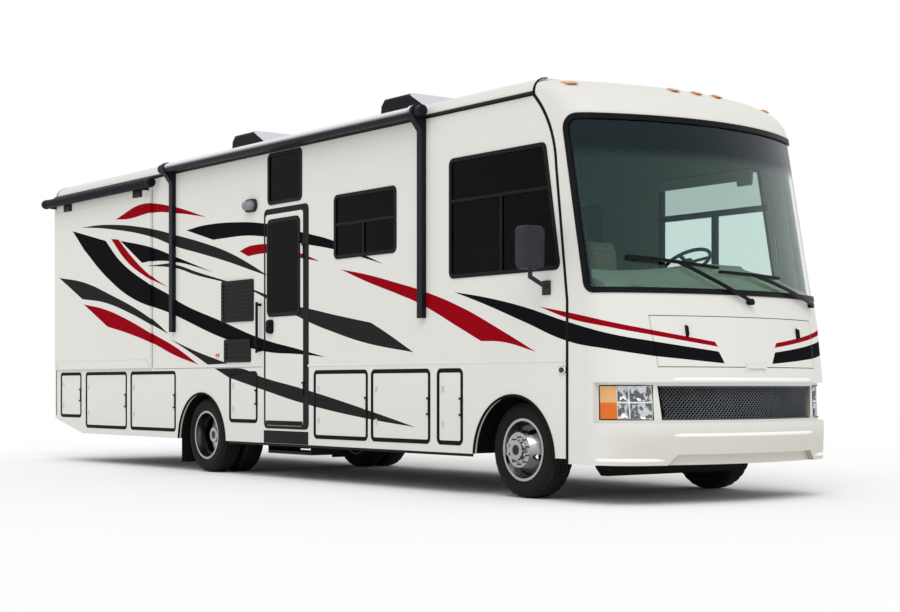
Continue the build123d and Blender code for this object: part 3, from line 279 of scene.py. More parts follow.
def bodyPaint(name, striped, inside):
    finish = Finish(name, Coat_Weight=0.25, Coat_Roughness=0.06, Specular_IOR_Level=0.0)
    place, x, y, z = finish.spot()
    wayX, wayY, wayZ = finish.facing()
    out = y.sign() * wayY
    if inside == "walls":
        inner = (out < -0.5) | (wayX < -0.4)
    elif inside == "roof":
        inner = wayZ < -0.5
    else:
        inner = wayX > 0.5
    cloud = finish.noise(place, 1.3, 4.0)
    fine = finish.noise(place, 60.0, 2.0)
    colour = finish.mix((cloud - 0.35) * 0.10, paint["white"], paint["dustAndShade"])
    splash = (0.95 - z) * 0.9 * finish.noise(place, 5.0, 5.0)  # road film near the ground
    colour = finish.mix((splash | 0.0) * 0.35, colour, paint["dustAndShade"])
    # Painted shade: faces turned forward low on the bumper are darkened towards the dust tone
    paintedBumperShade = finish.fade(z, 0.46, 0.66, 0.5, 0.0)
    ahead = finish.fade(wayX, 0.15, 0.95)
    colour = finish.mix(paintedBumperShade * ahead, colour, paint["dustAndShade"])
    if striped:
        along = x + (coach["skin"] - abs(y))
        # The far side's stripes reach further in
        along = along - (y > 0.0) * ((along - paint["farFrom"]) | 0.0) * paint["farShare"]
        masks = stripeMasks(finish, along, z)
        shown = (out | wayX) > 0.25
        for key in ("charcoal", "black", "red"):
            colour = finish.mix(masks[key] * shown, colour, paint[key])
        # The film is duller than the paint
        finish.set(Coat_Weight=0.25 - (masks["charcoal"] | masks["black"] | masks["red"]) * shown * 0.23)
    colour = finish.mix(inner, colour, paint["lining"])
    finish.set(Base_Color=colour, Roughness=0.24 + fine * 0.06 + inner * 0.4)
    return finish.bump(finish.noise(place, 320.0, 1.0), 0.03, 0.001)


striped = bodyPaint("stripedPaint", True, "walls")
roofPaint = bodyPaint("roofPaint", False, "roof")
rearPaint = bodyPaint("rearPaint", False, "rear")
print("paint and stripes done")


# Plain finishes: two tones, roughness, grain size and depth
def grained(name, dark, light, rough, scale, depth, metal=0.0, spread=6.0, **constants):
    finish = Finish(name, Metallic=metal, **{"Specular_IOR_Level": 0.5 if metal else 0.07, **constants})
    place = finish.spot()[0]
    cloud = finish.noise(place, spread, 4.0)
    grain = finish.noise(place, scale, 2.0)
    finish.set(Base_Color=finish.mix(cloud, dark, light), Roughness=rough - 0.06 + cloud * 0.12)
    return finish.bump(grain, 0.25, depth)


blackTrim = grained("blackTrim", tone(14, 14, 16), tone(24, 24, 27), 0.36, 420, 0.0006)
greyTrim = grained("greyTrim", tone(44, 46, 51), tone(58, 60, 66), 0.48, 380, 0.0008)
rubber = grained("rubber", tone(14, 14, 14), tone(24, 23, 22), 0.68, 300, 0.0008)
underSteel = grained("underSteel", tone(22, 22, 23), tone(44, 40, 36), 0.6, 120, 0.001, spread=3.0)
castIron = grained("castIron", tone(66, 64, 61), tone(92, 86, 78), 0.62, 160, 0.0015, metal=0.6)
bayLiner = grained("bayLiner", tone(46, 46, 48), tone(66, 66, 66), 0.7, 90, 0.001)
alu = grained("alu", tone(170, 172, 174), tone(196, 197, 199), 0.34, 240, 0.0003, metal=1.0)
chrome = grained("chrome", tone(196, 198, 201), tone(224, 225, 227), 0.12, 30, 0.0001, metal=1.0)
dashVinyl = grained("dashVinyl", tone(176, 178, 166), tone(196, 197, 184), 0.55, 260, 0.0008)
darkDash = grained("darkDash", tone(52, 54, 54), tone(66, 68, 68), 0.5, 260, 0.0008)
meshSteel = grained("meshSteel", tone(70, 74, 79), tone(104, 108, 114), 0.34, 80, 0.0002, metal=0.7)
lampGrey = grained("lampGrey", tone(92, 94, 98), tone(158, 160, 164), 0.22, 60, 0.0006, spread=26.0,
                   Specular_IOR_Level=0.3)
# Brighter than the body white: on the nose ridges it is a painted highlight, on the lamp ribs their white
ribWhiteAndHighlight = grained("ribWhiteAndHighlight", tone(246, 245, 242), tone(253, 252, 250), 0.16, 200, 0.0002,
                    Specular_IOR_Level=0.5)


def airUnitShell():
    finish = Finish("airShell", Specular_IOR_Level=0.05)
    place = finish.spot()[0]
    wayX, wayY, wayZ = finish.facing()
    fade = finish.noise(place, 5.0, 4.0)
    lit = (wayX > 0.25) * (wayZ > 0.1)  # painted highlight: faces sloping up at the front are painted near-white
    colour = finish.mix(fade, tone(20, 21, 24), tone(32, 33, 37))
    finish.set(Base_Color=finish.mix(lit * 0.9, colour, tone(216, 218, 222)), Roughness=0.4 + fade * 0.12)
    return finish.bump(finish.noise(place, 260.0, 2.0), 0.25, 0.0008)


def hingeFinish():
    finish = Finish("hingeFinish", Specular_IOR_Level=0.16)
    place, x, y, z = finish.spot()
    wear = finish.noise(place, 30.0, 4.0)
    colour = finish.mix(wear, tone(14, 14, 16), tone(28, 28, 30))
    # The hood's hinge is painted
    finish.set(Base_Color=finish.mix(x > 5.0, colour, paint["white"]), Roughness=0.34 + wear * 0.1)
    return finish.bump(wear, 0.1, 0.0004)


airShell, hingePaint = airUnitShell(), hingeFinish()


def wheelChrome(name, axleX, hubTone):
    finish = Finish(name, Metallic=1.0)
    place, x, y, z = finish.spot()
    reach = ((x - axleX) ** 2 + (z - coach["axleHeight"]) ** 2).root()
    stain = finish.noise(place, 9.0, 5.0)
    wayX, wayY, wayZ = finish.facing()
    ground = finish.fade(wayZ, -0.45, 0.55, 1.0, 0.0)
    colour = finish.mix(stain * 0.35, tone(222, 223, 225), tone(150, 146, 140))
    # Painted reflection: faces that look down are painted dark, as if mirroring the dark ground
    colour = finish.mix(ground * 0.82, colour, tone(74, 72, 70))
    colour = finish.mix((reach < 0.043), colour, hubTone)
    colour = finish.mix((y.sign() * wayY) < -0.15, colour, tone(30, 29, 28))  # faces turned towards the vehicle's middle are dark
    finish.set(Base_Color=colour, Roughness=0.13 + stain * 0.10)
    return finish.bump(finish.noise(place, 26.0, 2.0), 0.06, 0.001)


frontChrome = wheelChrome("frontChrome", coach["frontAxle"], tone(52, 50, 48))
rearChrome = wheelChrome("rearChrome", coach["rearAxle"], tone(52, 50, 48))


def tyreRubber(name, axleX):
    finish = Finish(name, Specular_IOR_Level=0.12)
    place, x, y, z = finish.spot()
    reach = ((x - axleX) ** 2 + (z - coach["axleHeight"]) ** 2).root()
    dusty = finish.noise(place, 14.0, 5.0)
    tread = reach > 0.386
    colour = finish.mix(dusty * 0.5, tone(20, 20, 20), tone(38, 36, 34))
    colour = finish.mix(tread * dusty * 0.5, colour, tone(54, 50, 46))
    finish.set(Base_Color=colour, Roughness=0.62 + dusty * 0.2)
    return finish.bump((reach * 1400.0).sine() * 0.5 + finish.noise(place, 220.0, 2.0), 0.12, 0.0008)


frontTyre = tyreRubber("frontTyre", coach["frontAxle"])
rearTyre = tyreRubber("rearTyre", coach["rearAxle"])


def tinted(name):
    finish = Finish(name, IOR=1.12, Specular_IOR_Level=0.16, Transmission_Weight=1.0)
    place, x, y, z = finish.spot()
    smear = finish.noise(place, 3.0, 3.0)
    cab = x > 2.8
    colour = finish.mix(smear, tone(10, 11, 12), tone(16, 17, 18))
    colour = finish.mix(cab * (y < 0.0), colour, tone(46, 50, 50))
    driver = finish.mix(z > 2.51, tone(240, 244, 243), tone(196, 202, 200))
    colour = finish.mix(cab * (y > 0.0), colour, driver)  # the driver's window is hardly tinted
    finish.set(Base_Color=colour, Roughness=smear * 0.02)
    return finish


def windshieldGlass():
    finish = Finish("windshieldGlass", IOR=1.38, Specular_IOR_Level=0.34,
                    Specular_Tint=(0.62, 0.94, 1.0, 1.0), Transmission_Weight=1.0)
    place, x, y, z = finish.spot()
    smear = finish.noise(place, 2.0, 3.0)
    band = finish.fade(z, 2.71, 2.83)
    corner = finish.fade(y, 0.94, 1.10)
    colour = finish.mix(corner, tone(206, 228, 222), tone(248, 250, 248))  # clear at the far corner
    colour = finish.mix(band, colour, tone(50, 54, 84))
    finish.set(Base_Color=colour, Roughness=smear * 0.015)
    return finish


def bowlFinish():
    finish = Finish("bowlMetal", Metallic=1.0)
    place = finish.spot()[0]
    # Painted reflection: noise patches of dark and bright metal colour stand in for the bowls mirroring
    # their surroundings
    reflectionPatch = finish.noise(finish.stretched(place, (26.0, 26.0, 17.0)), 1.0, 1.0)
    deep = finish.fade(reflectionPatch, 0.44, 0.56)
    finish.set(Base_Color=finish.mix(deep, tone(62, 66, 72), tone(214, 217, 221)),
               Roughness=0.05 + reflectionPatch * 0.08)
    return finish


bowlMetal = bowlFinish()


def lens(name, dark, light, cover, pale=None):
    finish = Finish(name, IOR=1.45)
    place, x, y, z = finish.spot()
    flute = ((y + x) * 620.0).sine() * 0.5 + 0.5
    colour = finish.mix(flute * 0.5, dark, light)
    if pale:
        colour = finish.mix(z > 0.7985, colour, pale)  # the upper row is paler
    finish.set(Base_Color=colour, Roughness=0.08 + flute * 0.05, Alpha=cover + flute * 0.06)
    return finish.bump(flute, 0.25, 0.001) if cover > 0.3 else finish


sideGlass = tinted("sideGlass")
screenGlass = windshieldGlass()
clearLens = lens("clearLens", tone(190, 196, 200), tone(235, 238, 240), 0.05)
amberLens = lens("amberLens", tone(238, 108, 14), tone(250, 148, 48), 0.74, tone(246, 190, 128))
redLens = lens("redLens", tone(140, 12, 16), tone(190, 30, 30), 0.94)


def markerLens():
    finish = Finish("markerLens", IOR=1.45, Specular_IOR_Level=0.4)
    place, x, y, z = finish.spot()
    flute = (y * 520.0).sine() * 0.5 + 0.5
    porch = (abs(x + 0.4065) < 0.08) * (y < 0.0)
    rim = ((((x + 0.4065) / 0.061) ** 2.0) + (((z - 2.780) / 0.042) ** 2.0)) > 0.62
    colour = finish.mix(flute * 0.6, tone(216, 138, 62), tone(240, 198, 146))
    colour = finish.mix((abs(y) > 1.25) * (z < 2.0), colour, tone(226, 92, 28))
    grey = finish.mix(rim, tone(168, 170, 172), tone(20, 20, 22))
    finish.set(Base_Color=finish.mix(porch, colour, grey), Roughness=0.16 + flute * 0.06)
    return finish.bump(flute, 0.2, 0.001)


markerGlass = markerLens()


def seatFabric():
    finish = Finish("seatFabric", Sheen_Weight=0.3, Sheen_Roughness=0.5)
    place, x, y, z = finish.spot()
    weave = (x * 1900.0).sine() * (y * 1900.0).sine() + (z * 1900.0).sine() * 0.6
    mottle = finish.noise(place, 22.0, 4.0)
    finish.set(Base_Color=finish.mix(mottle, tone(168, 152, 130), tone(196, 182, 160)),
               Roughness=0.82 + mottle * 0.1)
    return finish.bump(weave * 0.5 + mottle, 0.3, 0.0012)


def plankFloor():
    finish = Finish("plankFloor", Coat_Weight=0.2)
    place, x, y, z = finish.spot()
    board = (y / 0.12).fraction()
    seam = (board < 0.02) | (board > 0.98)
    grain = finish.noise(finish.stretched(place, (2.0, 28.0, 8.0)), 3.0, 5.0)
    colour = finish.mix(grain, tone(92, 66, 46), tone(140, 106, 76))
    finish.set(Base_Color=finish.mix(seam, colour, tone(40, 30, 22)), Roughness=0.4 + grain * 0.15)
    return finish.bump(grain - seam, 0.2, 0.001)


def rolledCloth(name, pale, shine):  # pale: x range over which the upper half gets a painted white highlight
    finish = Finish(name, Specular_IOR_Level=shine)
    place, x, y, z = finish.spot()
    wayX, wayY, wayZ = finish.facing()
    rib = (x * 900.0).sine() * 0.5 + 0.5
    fade = finish.noise(place, 4.0, 4.0)
    colour = finish.mix(fade, tone(13, 14, 19), tone(24, 26, 34))
    if pale:
        # Painted highlight: the upward-facing half of the roll is painted near-white
        upper = finish.fade(wayZ, -0.32, 0.60)
        colour = finish.mix(upper * (x > pale[0]) * (x < pale[1]) * (z > 3.2), colour, tone(226, 228, 232))
    finish.set(Base_Color=colour, Roughness=0.36 + fade * 0.12)
    return finish.bump(rib, 0.08, 0.0006)


seatCloth = seatFabric()
floorBoard = plankFloor()
awningCloth = rolledCloth("awningCloth", (-2.02, 2.6), 0.12)
topperCloth = rolledCloth("topperCloth", None, 0.03)

finishOf = {
    "front_cap": striped, "hood": striped, "wall_right": striped, "wall_left": striped,
    "skirt_right": striped, "skirt_left": striped, "slideout": striped, "entry_door": striped,
    "roof": roofPaint, "rear_wall": rearPaint,
    "windshield": screenGlass, "side_glass": sideGlass, "entry_door_glass": sideGlass,
    "grille": blackTrim, "headlamps": chrome, "wipers": blackTrim, "window_frames": blackTrim,
    "hatch_seals": rubber, "hinge_halves": hingePaint, "slide_topper": topperCloth,
    "hitch_receiver": underSteel,
    "floor": floorBoard, "cab_seats": seatCloth, "dashboard": dashVinyl, "steering_wheel": darkDash,
    "chassis_frame": underSteel, "front_axle": underSteel, "rear_axle": castIron,
    "knuckle_left": castIron, "knuckle_right": castIron,
    "tyre_front_left": frontTyre, "tyre_front_right": frontTyre, "tyres_rear_left": rearTyre,
    "tyres_rear_right": rearTyre,
    "wheel_front_left": frontChrome, "wheel_front_right": frontChrome,
    "wheels_rear_left": rearChrome, "wheels_rear_right": rearChrome,
    "wheel_liners": rubber, "engine": castIron, "fuel_tank": underSteel, "baggage_bays": bayLiner,
    "entry_step": underSteel, "wall_fittings": blackTrim, "marker_lamps": markerGlass, "tail_lamps": redLens,
    "awning": awningCloth, "roof_air": airShell, "mirrors": greyTrim, "ladder": alu,
}
for name, node in nodes.items():
    node.data.materials.clear()
    node.data.materials.append(finishOf.get(name, striped).material)
print("finishes on", len(nodes), "nodes")


# Mesh helpers
class Shape:
    def __init__(self):
        self.verts, self.faces = [], []

    def add(self, verts, faces):
        base = len(self.verts)
        self.verts += [tuple(v) for v in verts]
        self.faces += [tuple(base + i for i in face) for face in faces]
        return self

    def rings(self, rings, closed=True, capped=True, round=False):  # skin over rings of equal length
        count = len(rings[0])
        faces = []
        total = len(rings) if round else len(rings) - 1
        for k in range(total):
            nextRing = (k + 1) % len(rings)
            for i in range(count if closed else count - 1):
                j = (i + 1) % count
                faces.append((k * count + i, k * count + j, nextRing * count + j, nextRing * count + i))
        if capped and not round:
            faces.append(tuple(range(count))[::-1])
            faces.append(tuple((len(rings) - 1) * count + i for i in range(count)))
        return self.add([v for ring in rings for v in ring], faces)

    def tube(self, path, radius, sides=8, closed=False):
        rings = []
        for i, point in enumerate(path):
            before = path[i - 1] if i or closed else path[i]
            after = path[(i + 1) % len(path)] if i + 1 < len(path) or closed else path[i]
            way = (Vector(after) - Vector(before)).normalized()
            side = way.cross(Vector((0, 0, 1)))
            side = side.normalized() if side.length > 0.05 else way.cross(Vector((0, 1, 0))).normalized()
            up = side.cross(way)
            rings.append([Vector(point) + (side * math.cos(a) + up * math.sin(a)) * radius
                          for a in circle(sides)])
        return self.rings(rings, capped=not closed, round=closed)

    def plate(self, layers, place):  # layers: width, height, corner, level
        rings = [[place(u, v, level) for u, v in roundRect(w, h, r)] for w, h, r, level in layers]
        return self.rings(rings)

    def mesh(self, name):
        made = bpy.data.meshes.new(name)
        made.from_pydata(self.verts, [], self.faces)
        work = bmesh.new()
        work.from_mesh(made)
        bmesh.ops.recalc_face_normals(work, faces=work.faces)
        work.to_mesh(made)
        work.free()
        return made


def circle(count):
    return [2 * math.pi * k / count for k in range(count)]


def roundRect(width, height, corner, steps=5):
    points = []
    for cx, cy, start in ((1, 1, 0), (-1, 1, 90), (-1, -1, 180), (1, -1, 270)):
        for k in range(steps + 1):
            a = math.radians(start + 90 * k / steps)
            points.append((cx * (width / 2 - corner) + corner * math.cos(a),
                           cy * (height / 2 - corner) + corner * math.sin(a)))
    return points


def piece(name, shape, finish, body, sharp=35):
    mesh = shape.mesh(name) if isinstance(shape, Shape) else shape
    mesh.materials.append(finish.material)
    for face in mesh.polygons:
        face.use_smooth = True
    mesh.set_sharp_from_angle(angle=math.radians(sharp))
    made = bpy.data.objects.new(name, mesh)
    scene.collection.objects.link(made)
    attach(made, body)
    return made


def onSide(x, z, side, skin=coach["skin"]):
    return lambda u, v, t: (x + u, side * (skin + t), z + v)


nose = dict(front=5.3545, bow=2.5, side=coach["skin"],  # rows: height, setback, corner radius
            rows=((0.312, 0.010, 0.42), (0.55, 0.0, 0.42), (1.0, 0.022, 0.40), (1.45, 0.097, 0.28),
                  (3.1, 0.432, 0.26)))


def capPoint(turn, z, off):  # turn: degrees round the nose from straight ahead
    for (z0, s0, c0), (z1, s1, c1) in zip(nose["rows"], nose["rows"][1:]):
        if z <= z1:
            break
    share = (z - z0) / (z1 - z0)
    setback = s0 + (s1 - s0) * share
    bow, corner = nose["bow"] + off, c0 + (c1 - c0) * share + off
    bowX = nose["front"] - setback + off - bow
    cornerY = nose["side"] + off - corner
    cornerX = bowX + math.sqrt((bow - corner) ** 2 - cornerY ** 2)
    swing = math.atan2(cornerY, cornerX - bowX)
    a = math.radians(abs(turn))
    if a <= swing:
        x, y = bowX + bow * math.cos(a), bow * math.sin(a)
    else:
        x, y = cornerX + corner * math.cos(a), cornerY + corner * math.sin(a)
    return Vector((x, math.copysign(y, turn), z))


def turnAt(y, z, off):  # turn at which the cap skin reaches this y
    low, high = 0.0, 90.0
    for _ in range(40):
        middle = (low + high) / 2
        low, high = (middle, high) if capPoint(middle, z, off).y < y else (low, middle)
    return low


def turnBack(x, z, off):  # turn at which the cap skin falls back to this x
    low, high = 0.0, 90.0
    for _ in range(40):
        middle = (low + high) / 2
        low, high = (middle, high) if capPoint(middle, z, off).x > x else (low, middle)
    return low


# Camera at the photograph's place
camera = dict(place=(14.2302, -9.8291, 0.9222), yaw=52.757, lens=65.48, shift=0.0895)
cam = bpy.data.objects.new("camera", bpy.data.cameras.new("camera"))
scene.collection.objects.link(cam)
cam.location = camera["place"]
cam.rotation_euler = (math.radians(90), 0, math.radians(camera["yaw"]))
cam.data.sensor_width, cam.data.lens, cam.data.shift_y = 36, camera["lens"], camera["shift"]
cam.data.clip_end = 500
scene.camera = cam

# Eave rails along both walls
eave = dict(rear=-5.24, front=4.11, z=3.292)
for side, label in sides:
    section = [(1.2795, -0.016), (1.2795, 0.018), (1.287, 0.022), (1.300, 0.014), (1.306, 0.000),
               (1.300, -0.004), (1.292, -0.004), (1.288, -0.016)]
    rings = [[(x, side * y, eave["z"] + z) for y, z in section] for x in (eave["rear"], 0.0, eave["front"])]
    piece("eaveRail" + label, Shape().rings(rings), blackTrim, "coach")

# Moulding over the joint between walls and skirts, a thin line further back
belt = dict(z=1.126, tall=0.013, front=(0.70, 4.494), line=0.0022, lineZ=1.122, right=(-2.56, -0.16),
            left=(-5.20, 0.70))
for side, label in sides:
    section = [(-0.002, -1.0), (0.0036, -0.8), (0.006, -0.3), (0.006, 0.3), (0.0036, 0.8), (-0.002, 1.0)]
    rings = [[(x, side * (coach["skin"] + out), belt["z"] + up * belt["tall"]) for out, up in section]
             for x in belt["front"]]
    piece("beltMoulding" + label, Shape().rings(rings), striped, "coach")
    first, last = belt["right"] if side < 0 else belt["left"]
    thin = Shape().tube([(x, side * coach["skin"], belt["lineZ"]) for x in (first, last)], belt["line"], 6)
    piece("beltLine" + label, thin, greyTrim, "coach")

# Painted shade: dark strips under the skirts and a dark plate over the folded step stand in for the shadow
# there
under = dict(along=(-0.86, 3.29), low=0.328, high=0.362, step=(-0.136, 0.705), stepLow=0.354, stepHigh=0.481)
for side, label in sides:
    rings = [[(x, side * y, z) for y, z in ((1.2785, under["low"]), (1.2785, under["high"]),
                                            (1.262, under["high"]), (1.262, under["low"]))]
             for x in under["along"]]
    piece("skirtLip" + label, Shape().rings(rings), blackTrim, "coach")
rings = [[(x, y, z) for y, z in ((-1.279, under["stepLow"]), (-1.279, under["stepHigh"]),
                                 (-1.2818, under["stepHigh"] - 0.002), (-1.2818, under["stepLow"]))]
         for x in under["step"]]
piece("stepShade", Shape().rings(rings), blackTrim, "coach")

# Arch lips
arch = dict(radius=0.520, height=0.33, thick=0.011, axles=(coach["frontAxle"], coach["rearAxle"]))
for side, label in sides:
    lip = Shape()
    for axle in arch["axles"]:
        lip.tube([(axle + arch["radius"] * math.cos(a), side * 1.281,
                   arch["height"] + arch["radius"] * math.sin(a))
                  for a in (math.radians(2.6 + 174.8 * k / 48) for k in range(49))], arch["thick"])
    piece("archLips" + label, lip, rubber, "coach")

# Rounded ridges on the nose, in a brighter white than the body as a painted highlight: height, turn at each
# end
ridges = dict(tall=0.0150, deep=0.011, sunk=0.003, rows=((0.978, -19.2, 19.2), (0.544, -19.2, 19.2),
                                                         (0.352, -78, -20), (0.352, 20, 78)))
for k, (level, first, last) in enumerate(ridges["rows"]):
    rings = []
    for i in range(41):
        turn, swell = first + (last - first) * i / 40, math.sqrt(max(0.02, min(1.0, i / 2, (40 - i) / 2)))
        centre, ahead = capPoint(turn, level, -ridges["sunk"]), capPoint(turn + 0.5, level, -ridges["sunk"])
        out = (ahead - centre).cross(Vector((0, 0, 1))).normalized()
        rings.append([centre + (out * math.cos(a) * ridges["deep"]
                                + Vector((0, 0, 1)) * math.sin(a) * ridges["tall"]) * swell
                      for a in circle(10)])
    piece("noseRidge%d" % k, Shape().rings(rings), ribWhiteAndHighlight, "coach")

# Dark tray under the nose, an air dam that also stands in for the shade beneath the nose: y, lowest z
tray = dict(x=(4.30, 4.42), high=0.335, rows=((-0.80, 0.260), (-0.74, 0.192), (0.74, 0.192), (0.80, 0.260)))
rings = [[(tray["x"][0], y, tray["high"]), (tray["x"][1], y, tray["high"]),
          (tray["x"][1] - 0.008, y, low + 0.018), (tray["x"][1] - 0.026, y, low),
          (tray["x"][0] + 0.016, y, low)] for y, low in tray["rows"]]
piece("noseTray", Shape().rings(rings), underSteel, "coach")

# Black seal over the joint between the cap and the walls
seal = dict(foot=4.5125, bendZ=1.6, mid=(4.3805, 2.684), turn=(4.2925, 3.03), top=(4.1075, 3.28),
            roof=4.0765, low=0.314, half=0.0145, proud=0.0045, edge=0.16, side=coach["skin"])


def arcThrough(a, b, c, steps):  # points on the circle through three points
    ax, az, bx, bz, cx, cz = *a, *b, *c
    d = 2 * (ax * (bz - cz) + bx * (cz - az) + cx * (az - bz))
    ux = ((ax * ax + az * az) * (bz - cz) + (bx * bx + bz * bz) * (cz - az)
          + (cx * cx + cz * cz) * (az - bz)) / d
    uz = ((ax * ax + az * az) * (cx - bx) + (bx * bx + bz * bz) * (ax - cx)
          + (cx * cx + cz * cz) * (bx - ax)) / d
    first, last = math.atan2(az - uz, ax - ux), math.atan2(cz - uz, cx - ux)
    r = math.hypot(ax - ux, az - uz)
    turns = [first + (last - first) * k / steps for k in range(steps + 1)]
    return [(ux + r * math.cos(t), uz + r * math.sin(t)) for t in turns]


for side, label in sides:
    line = [(seal["foot"], seal["low"]), (seal["foot"], seal["bendZ"])]
    line += arcThrough(seal["mid"], seal["turn"], seal["top"], 12)
    spots = [(Vector((x, side * seal["side"], z)), Vector((0, side, 0))) for x, z in line]
    for k in range(1, 9):
        a = math.radians(90 * k / 8)
        x = seal["top"][0] + (seal["roof"] - seal["top"][0]) * math.sin(a)
        y = seal["side"] - seal["edge"] + seal["edge"] * math.cos(a)
        spots.append((Vector((x, side * y, seal["top"][1] + seal["edge"] * math.sin(a))),
                      Vector((0, side * math.cos(a), math.sin(a)))))
    rings = []
    for i, (spot, out) in enumerate(spots):
        way = (spots[min(i + 1, len(spots) - 1)][0] - spots[max(i - 1, 0)][0]).normalized()
        across = way.cross(out).normalized()
        rings.append([spot + across * u * seal["half"] + out * t for u, t in
                      ((-1, -0.002), (-1, 0.0025), (-0.6, seal["proud"]), (0.6, seal["proud"]), (1, 0.0025),
                       (1, -0.002))])
    piece("capSeal" + label, Shape().rings(rings), rubber, "coach")

# Hatch latches
hatches = {  # rear x, low, high, side
    "hatch_right_1": (-5.0875, 0.542, 1.096, -1),
    "hatch_right_2": (-4.3535, 0.422, 1.096, -1),
    "hatch_right_3": (-3.1415, 0.422, 1.096, -1),
    "hatch_right_4": (-0.8405, 0.548, 1.080, -1),
    "hatch_right_5": (0.8045, 0.418, 1.080, -1),
    "hatch_right_6": (1.7825, 0.418, 1.080, -1),
    "hatch_right_7": (2.7965, 0.418, 1.080, -1),
    "hatch_left_1": (-4.3535, 0.422, 1.096, 1),
    "hatch_left_2": (0.8045, 0.418, 1.080, 1),
    "hatch_left_3": (1.7825, 0.418, 1.080, 1),
}
latch = dict(inset=0.085, size=(0.036, 0.058))
for name, (rear, low, high, side) in hatches.items():
    shape = Shape()
    for share in (0.27, 0.73):
        place = onSide(rear + latch["inset"], low + (high - low) * share, side)
        w, h = latch["size"]
        shape.plate([(w, h, 0.009, -0.002), (w, h, 0.009, 0.004), (w - 0.006, h - 0.006, 0.007, 0.0065),
                     (w - 0.012, h - 0.012, 0.005, 0.0065), (w - 0.014, h - 0.014, 0.004, 0.003)], place)
        shape.plate([(w * 0.5, h * 0.55, 0.005, 0.002), (w * 0.5, h * 0.55, 0.005, 0.008),
                     (w * 0.36, h * 0.45, 0.004, 0.010)], place)
    piece("latch_" + name, shape, chrome, name)

# Door lock, dark foot strip and window frame, then the hood handles
door = dict(lockX=0.002, lockZ=1.525, glassX=(-0.0505, 0.5365), glassZ=(1.644, 2.585))
place = onSide(door["lockX"], door["lockZ"], -1)
lock = Shape().plate([(0.108, 0.144, 0.036, -0.002), (0.108, 0.144, 0.036, 0.018),
                      (0.098, 0.134, 0.032, 0.032), (0.078, 0.114, 0.024, 0.036),
                      (0.070, 0.106, 0.020, 0.026)], place)
lock.plate([(0.052, 0.062, 0.012, 0.024), (0.052, 0.062, 0.012, 0.042), (0.040, 0.050, 0.010, 0.048)],
           onSide(door["lockX"], door["lockZ"] + 0.016, -1))
lock.plate([(0.022, 0.022, 0.0105, 0.024), (0.022, 0.022, 0.0105, 0.034), (0.016, 0.016, 0.0075, 0.035)],
           onSide(door["lockX"], door["lockZ"] - 0.036, -1))
piece("doorLock", lock, blackTrim, "entry_door")
foot = Shape().plate([(0.697, 0.046, 0.012, -0.002), (0.697, 0.046, 0.012, 0.003),
                      (0.691, 0.040, 0.010, 0.004)], onSide(0.2515, 0.557, -1))
piece("doorFoot", foot, blackTrim, "entry_door")
glassW, glassH = door["glassX"][1] - door["glassX"][0], door["glassZ"][1] - door["glassZ"][0]
place = onSide(sum(door["glassX"]) / 2, sum(door["glassZ"]) / 2, -1)
ring = [(glassW + 0.044, glassH + 0.044, 0.072, -0.001), (glassW + 0.044, glassH + 0.044, 0.072, 0.005),
        (glassW + 0.036, glassH + 0.036, 0.068, 0.008), (glassW - 0.030, glassH - 0.030, 0.036, 0.008),
        (glassW - 0.036, glassH - 0.036, 0.033, 0.0045)]
frameRing = Shape().rings([[place(u, v, t) for u, v in roundRect(w, h, r)] for w, h, r, t in ring],
                          capped=False)
piece("doorWindowRing", frameRing, blackTrim, "entry_door")

handle = dict(y=0.64, z=1.354, size=(0.025, 0.096))
grips = Shape()
for side in (-1, 1):
    turn = turnAt(handle["y"], handle["z"], 0.0) * side
    foot = capPoint(turn, handle["z"], 0.0)
    across = (capPoint(turn + 1, handle["z"], 0.0) - foot).normalized() * side
    upward = (capPoint(turn, handle["z"] + 0.05, 0.0) - foot).normalized()
    outward = across.cross(upward).normalized() * (1 if across.cross(upward).x > 0 else -1)
    w, h = handle["size"]
    grips.plate([(w, h, 0.012, -0.004), (w, h, 0.012, 0.006), (w - 0.006, h - 0.006, 0.009, 0.012),
                 (w * 0.5, h - 0.02, 0.006, 0.016), (w * 0.42, h - 0.024, 0.005, 0.026),
                 (w * 0.3, h - 0.034, 0.0035, 0.030)],
                lambda u, v, t: foot + across * u + upward * v + outward * t)
piece("hoodHandles", grips, blackTrim, "hood")

# Round lamps low on the walls near the cap
cornerLamp = dict(x=4.4605, z=1.053)
for side, label in sides:
    place = onSide(cornerLamp["x"], cornerLamp["z"], side)
    base = Shape().plate([(0.084, 0.066, 0.032, -0.002), (0.084, 0.066, 0.032, 0.010),
                          (0.076, 0.058, 0.028, 0.016), (0.060, 0.044, 0.021, 0.016),
                          (0.056, 0.040, 0.019, 0.008)], place)
    piece("cornerLampBase" + label, base, chrome, "coach")
    bulb = Shape().plate([(0.055, 0.039, 0.019, 0.007), (0.050, 0.035, 0.017, 0.013),
                          (0.034, 0.022, 0.010, 0.016)], place)
    piece("cornerLampLens" + label, bulb, darkDash, "coach")

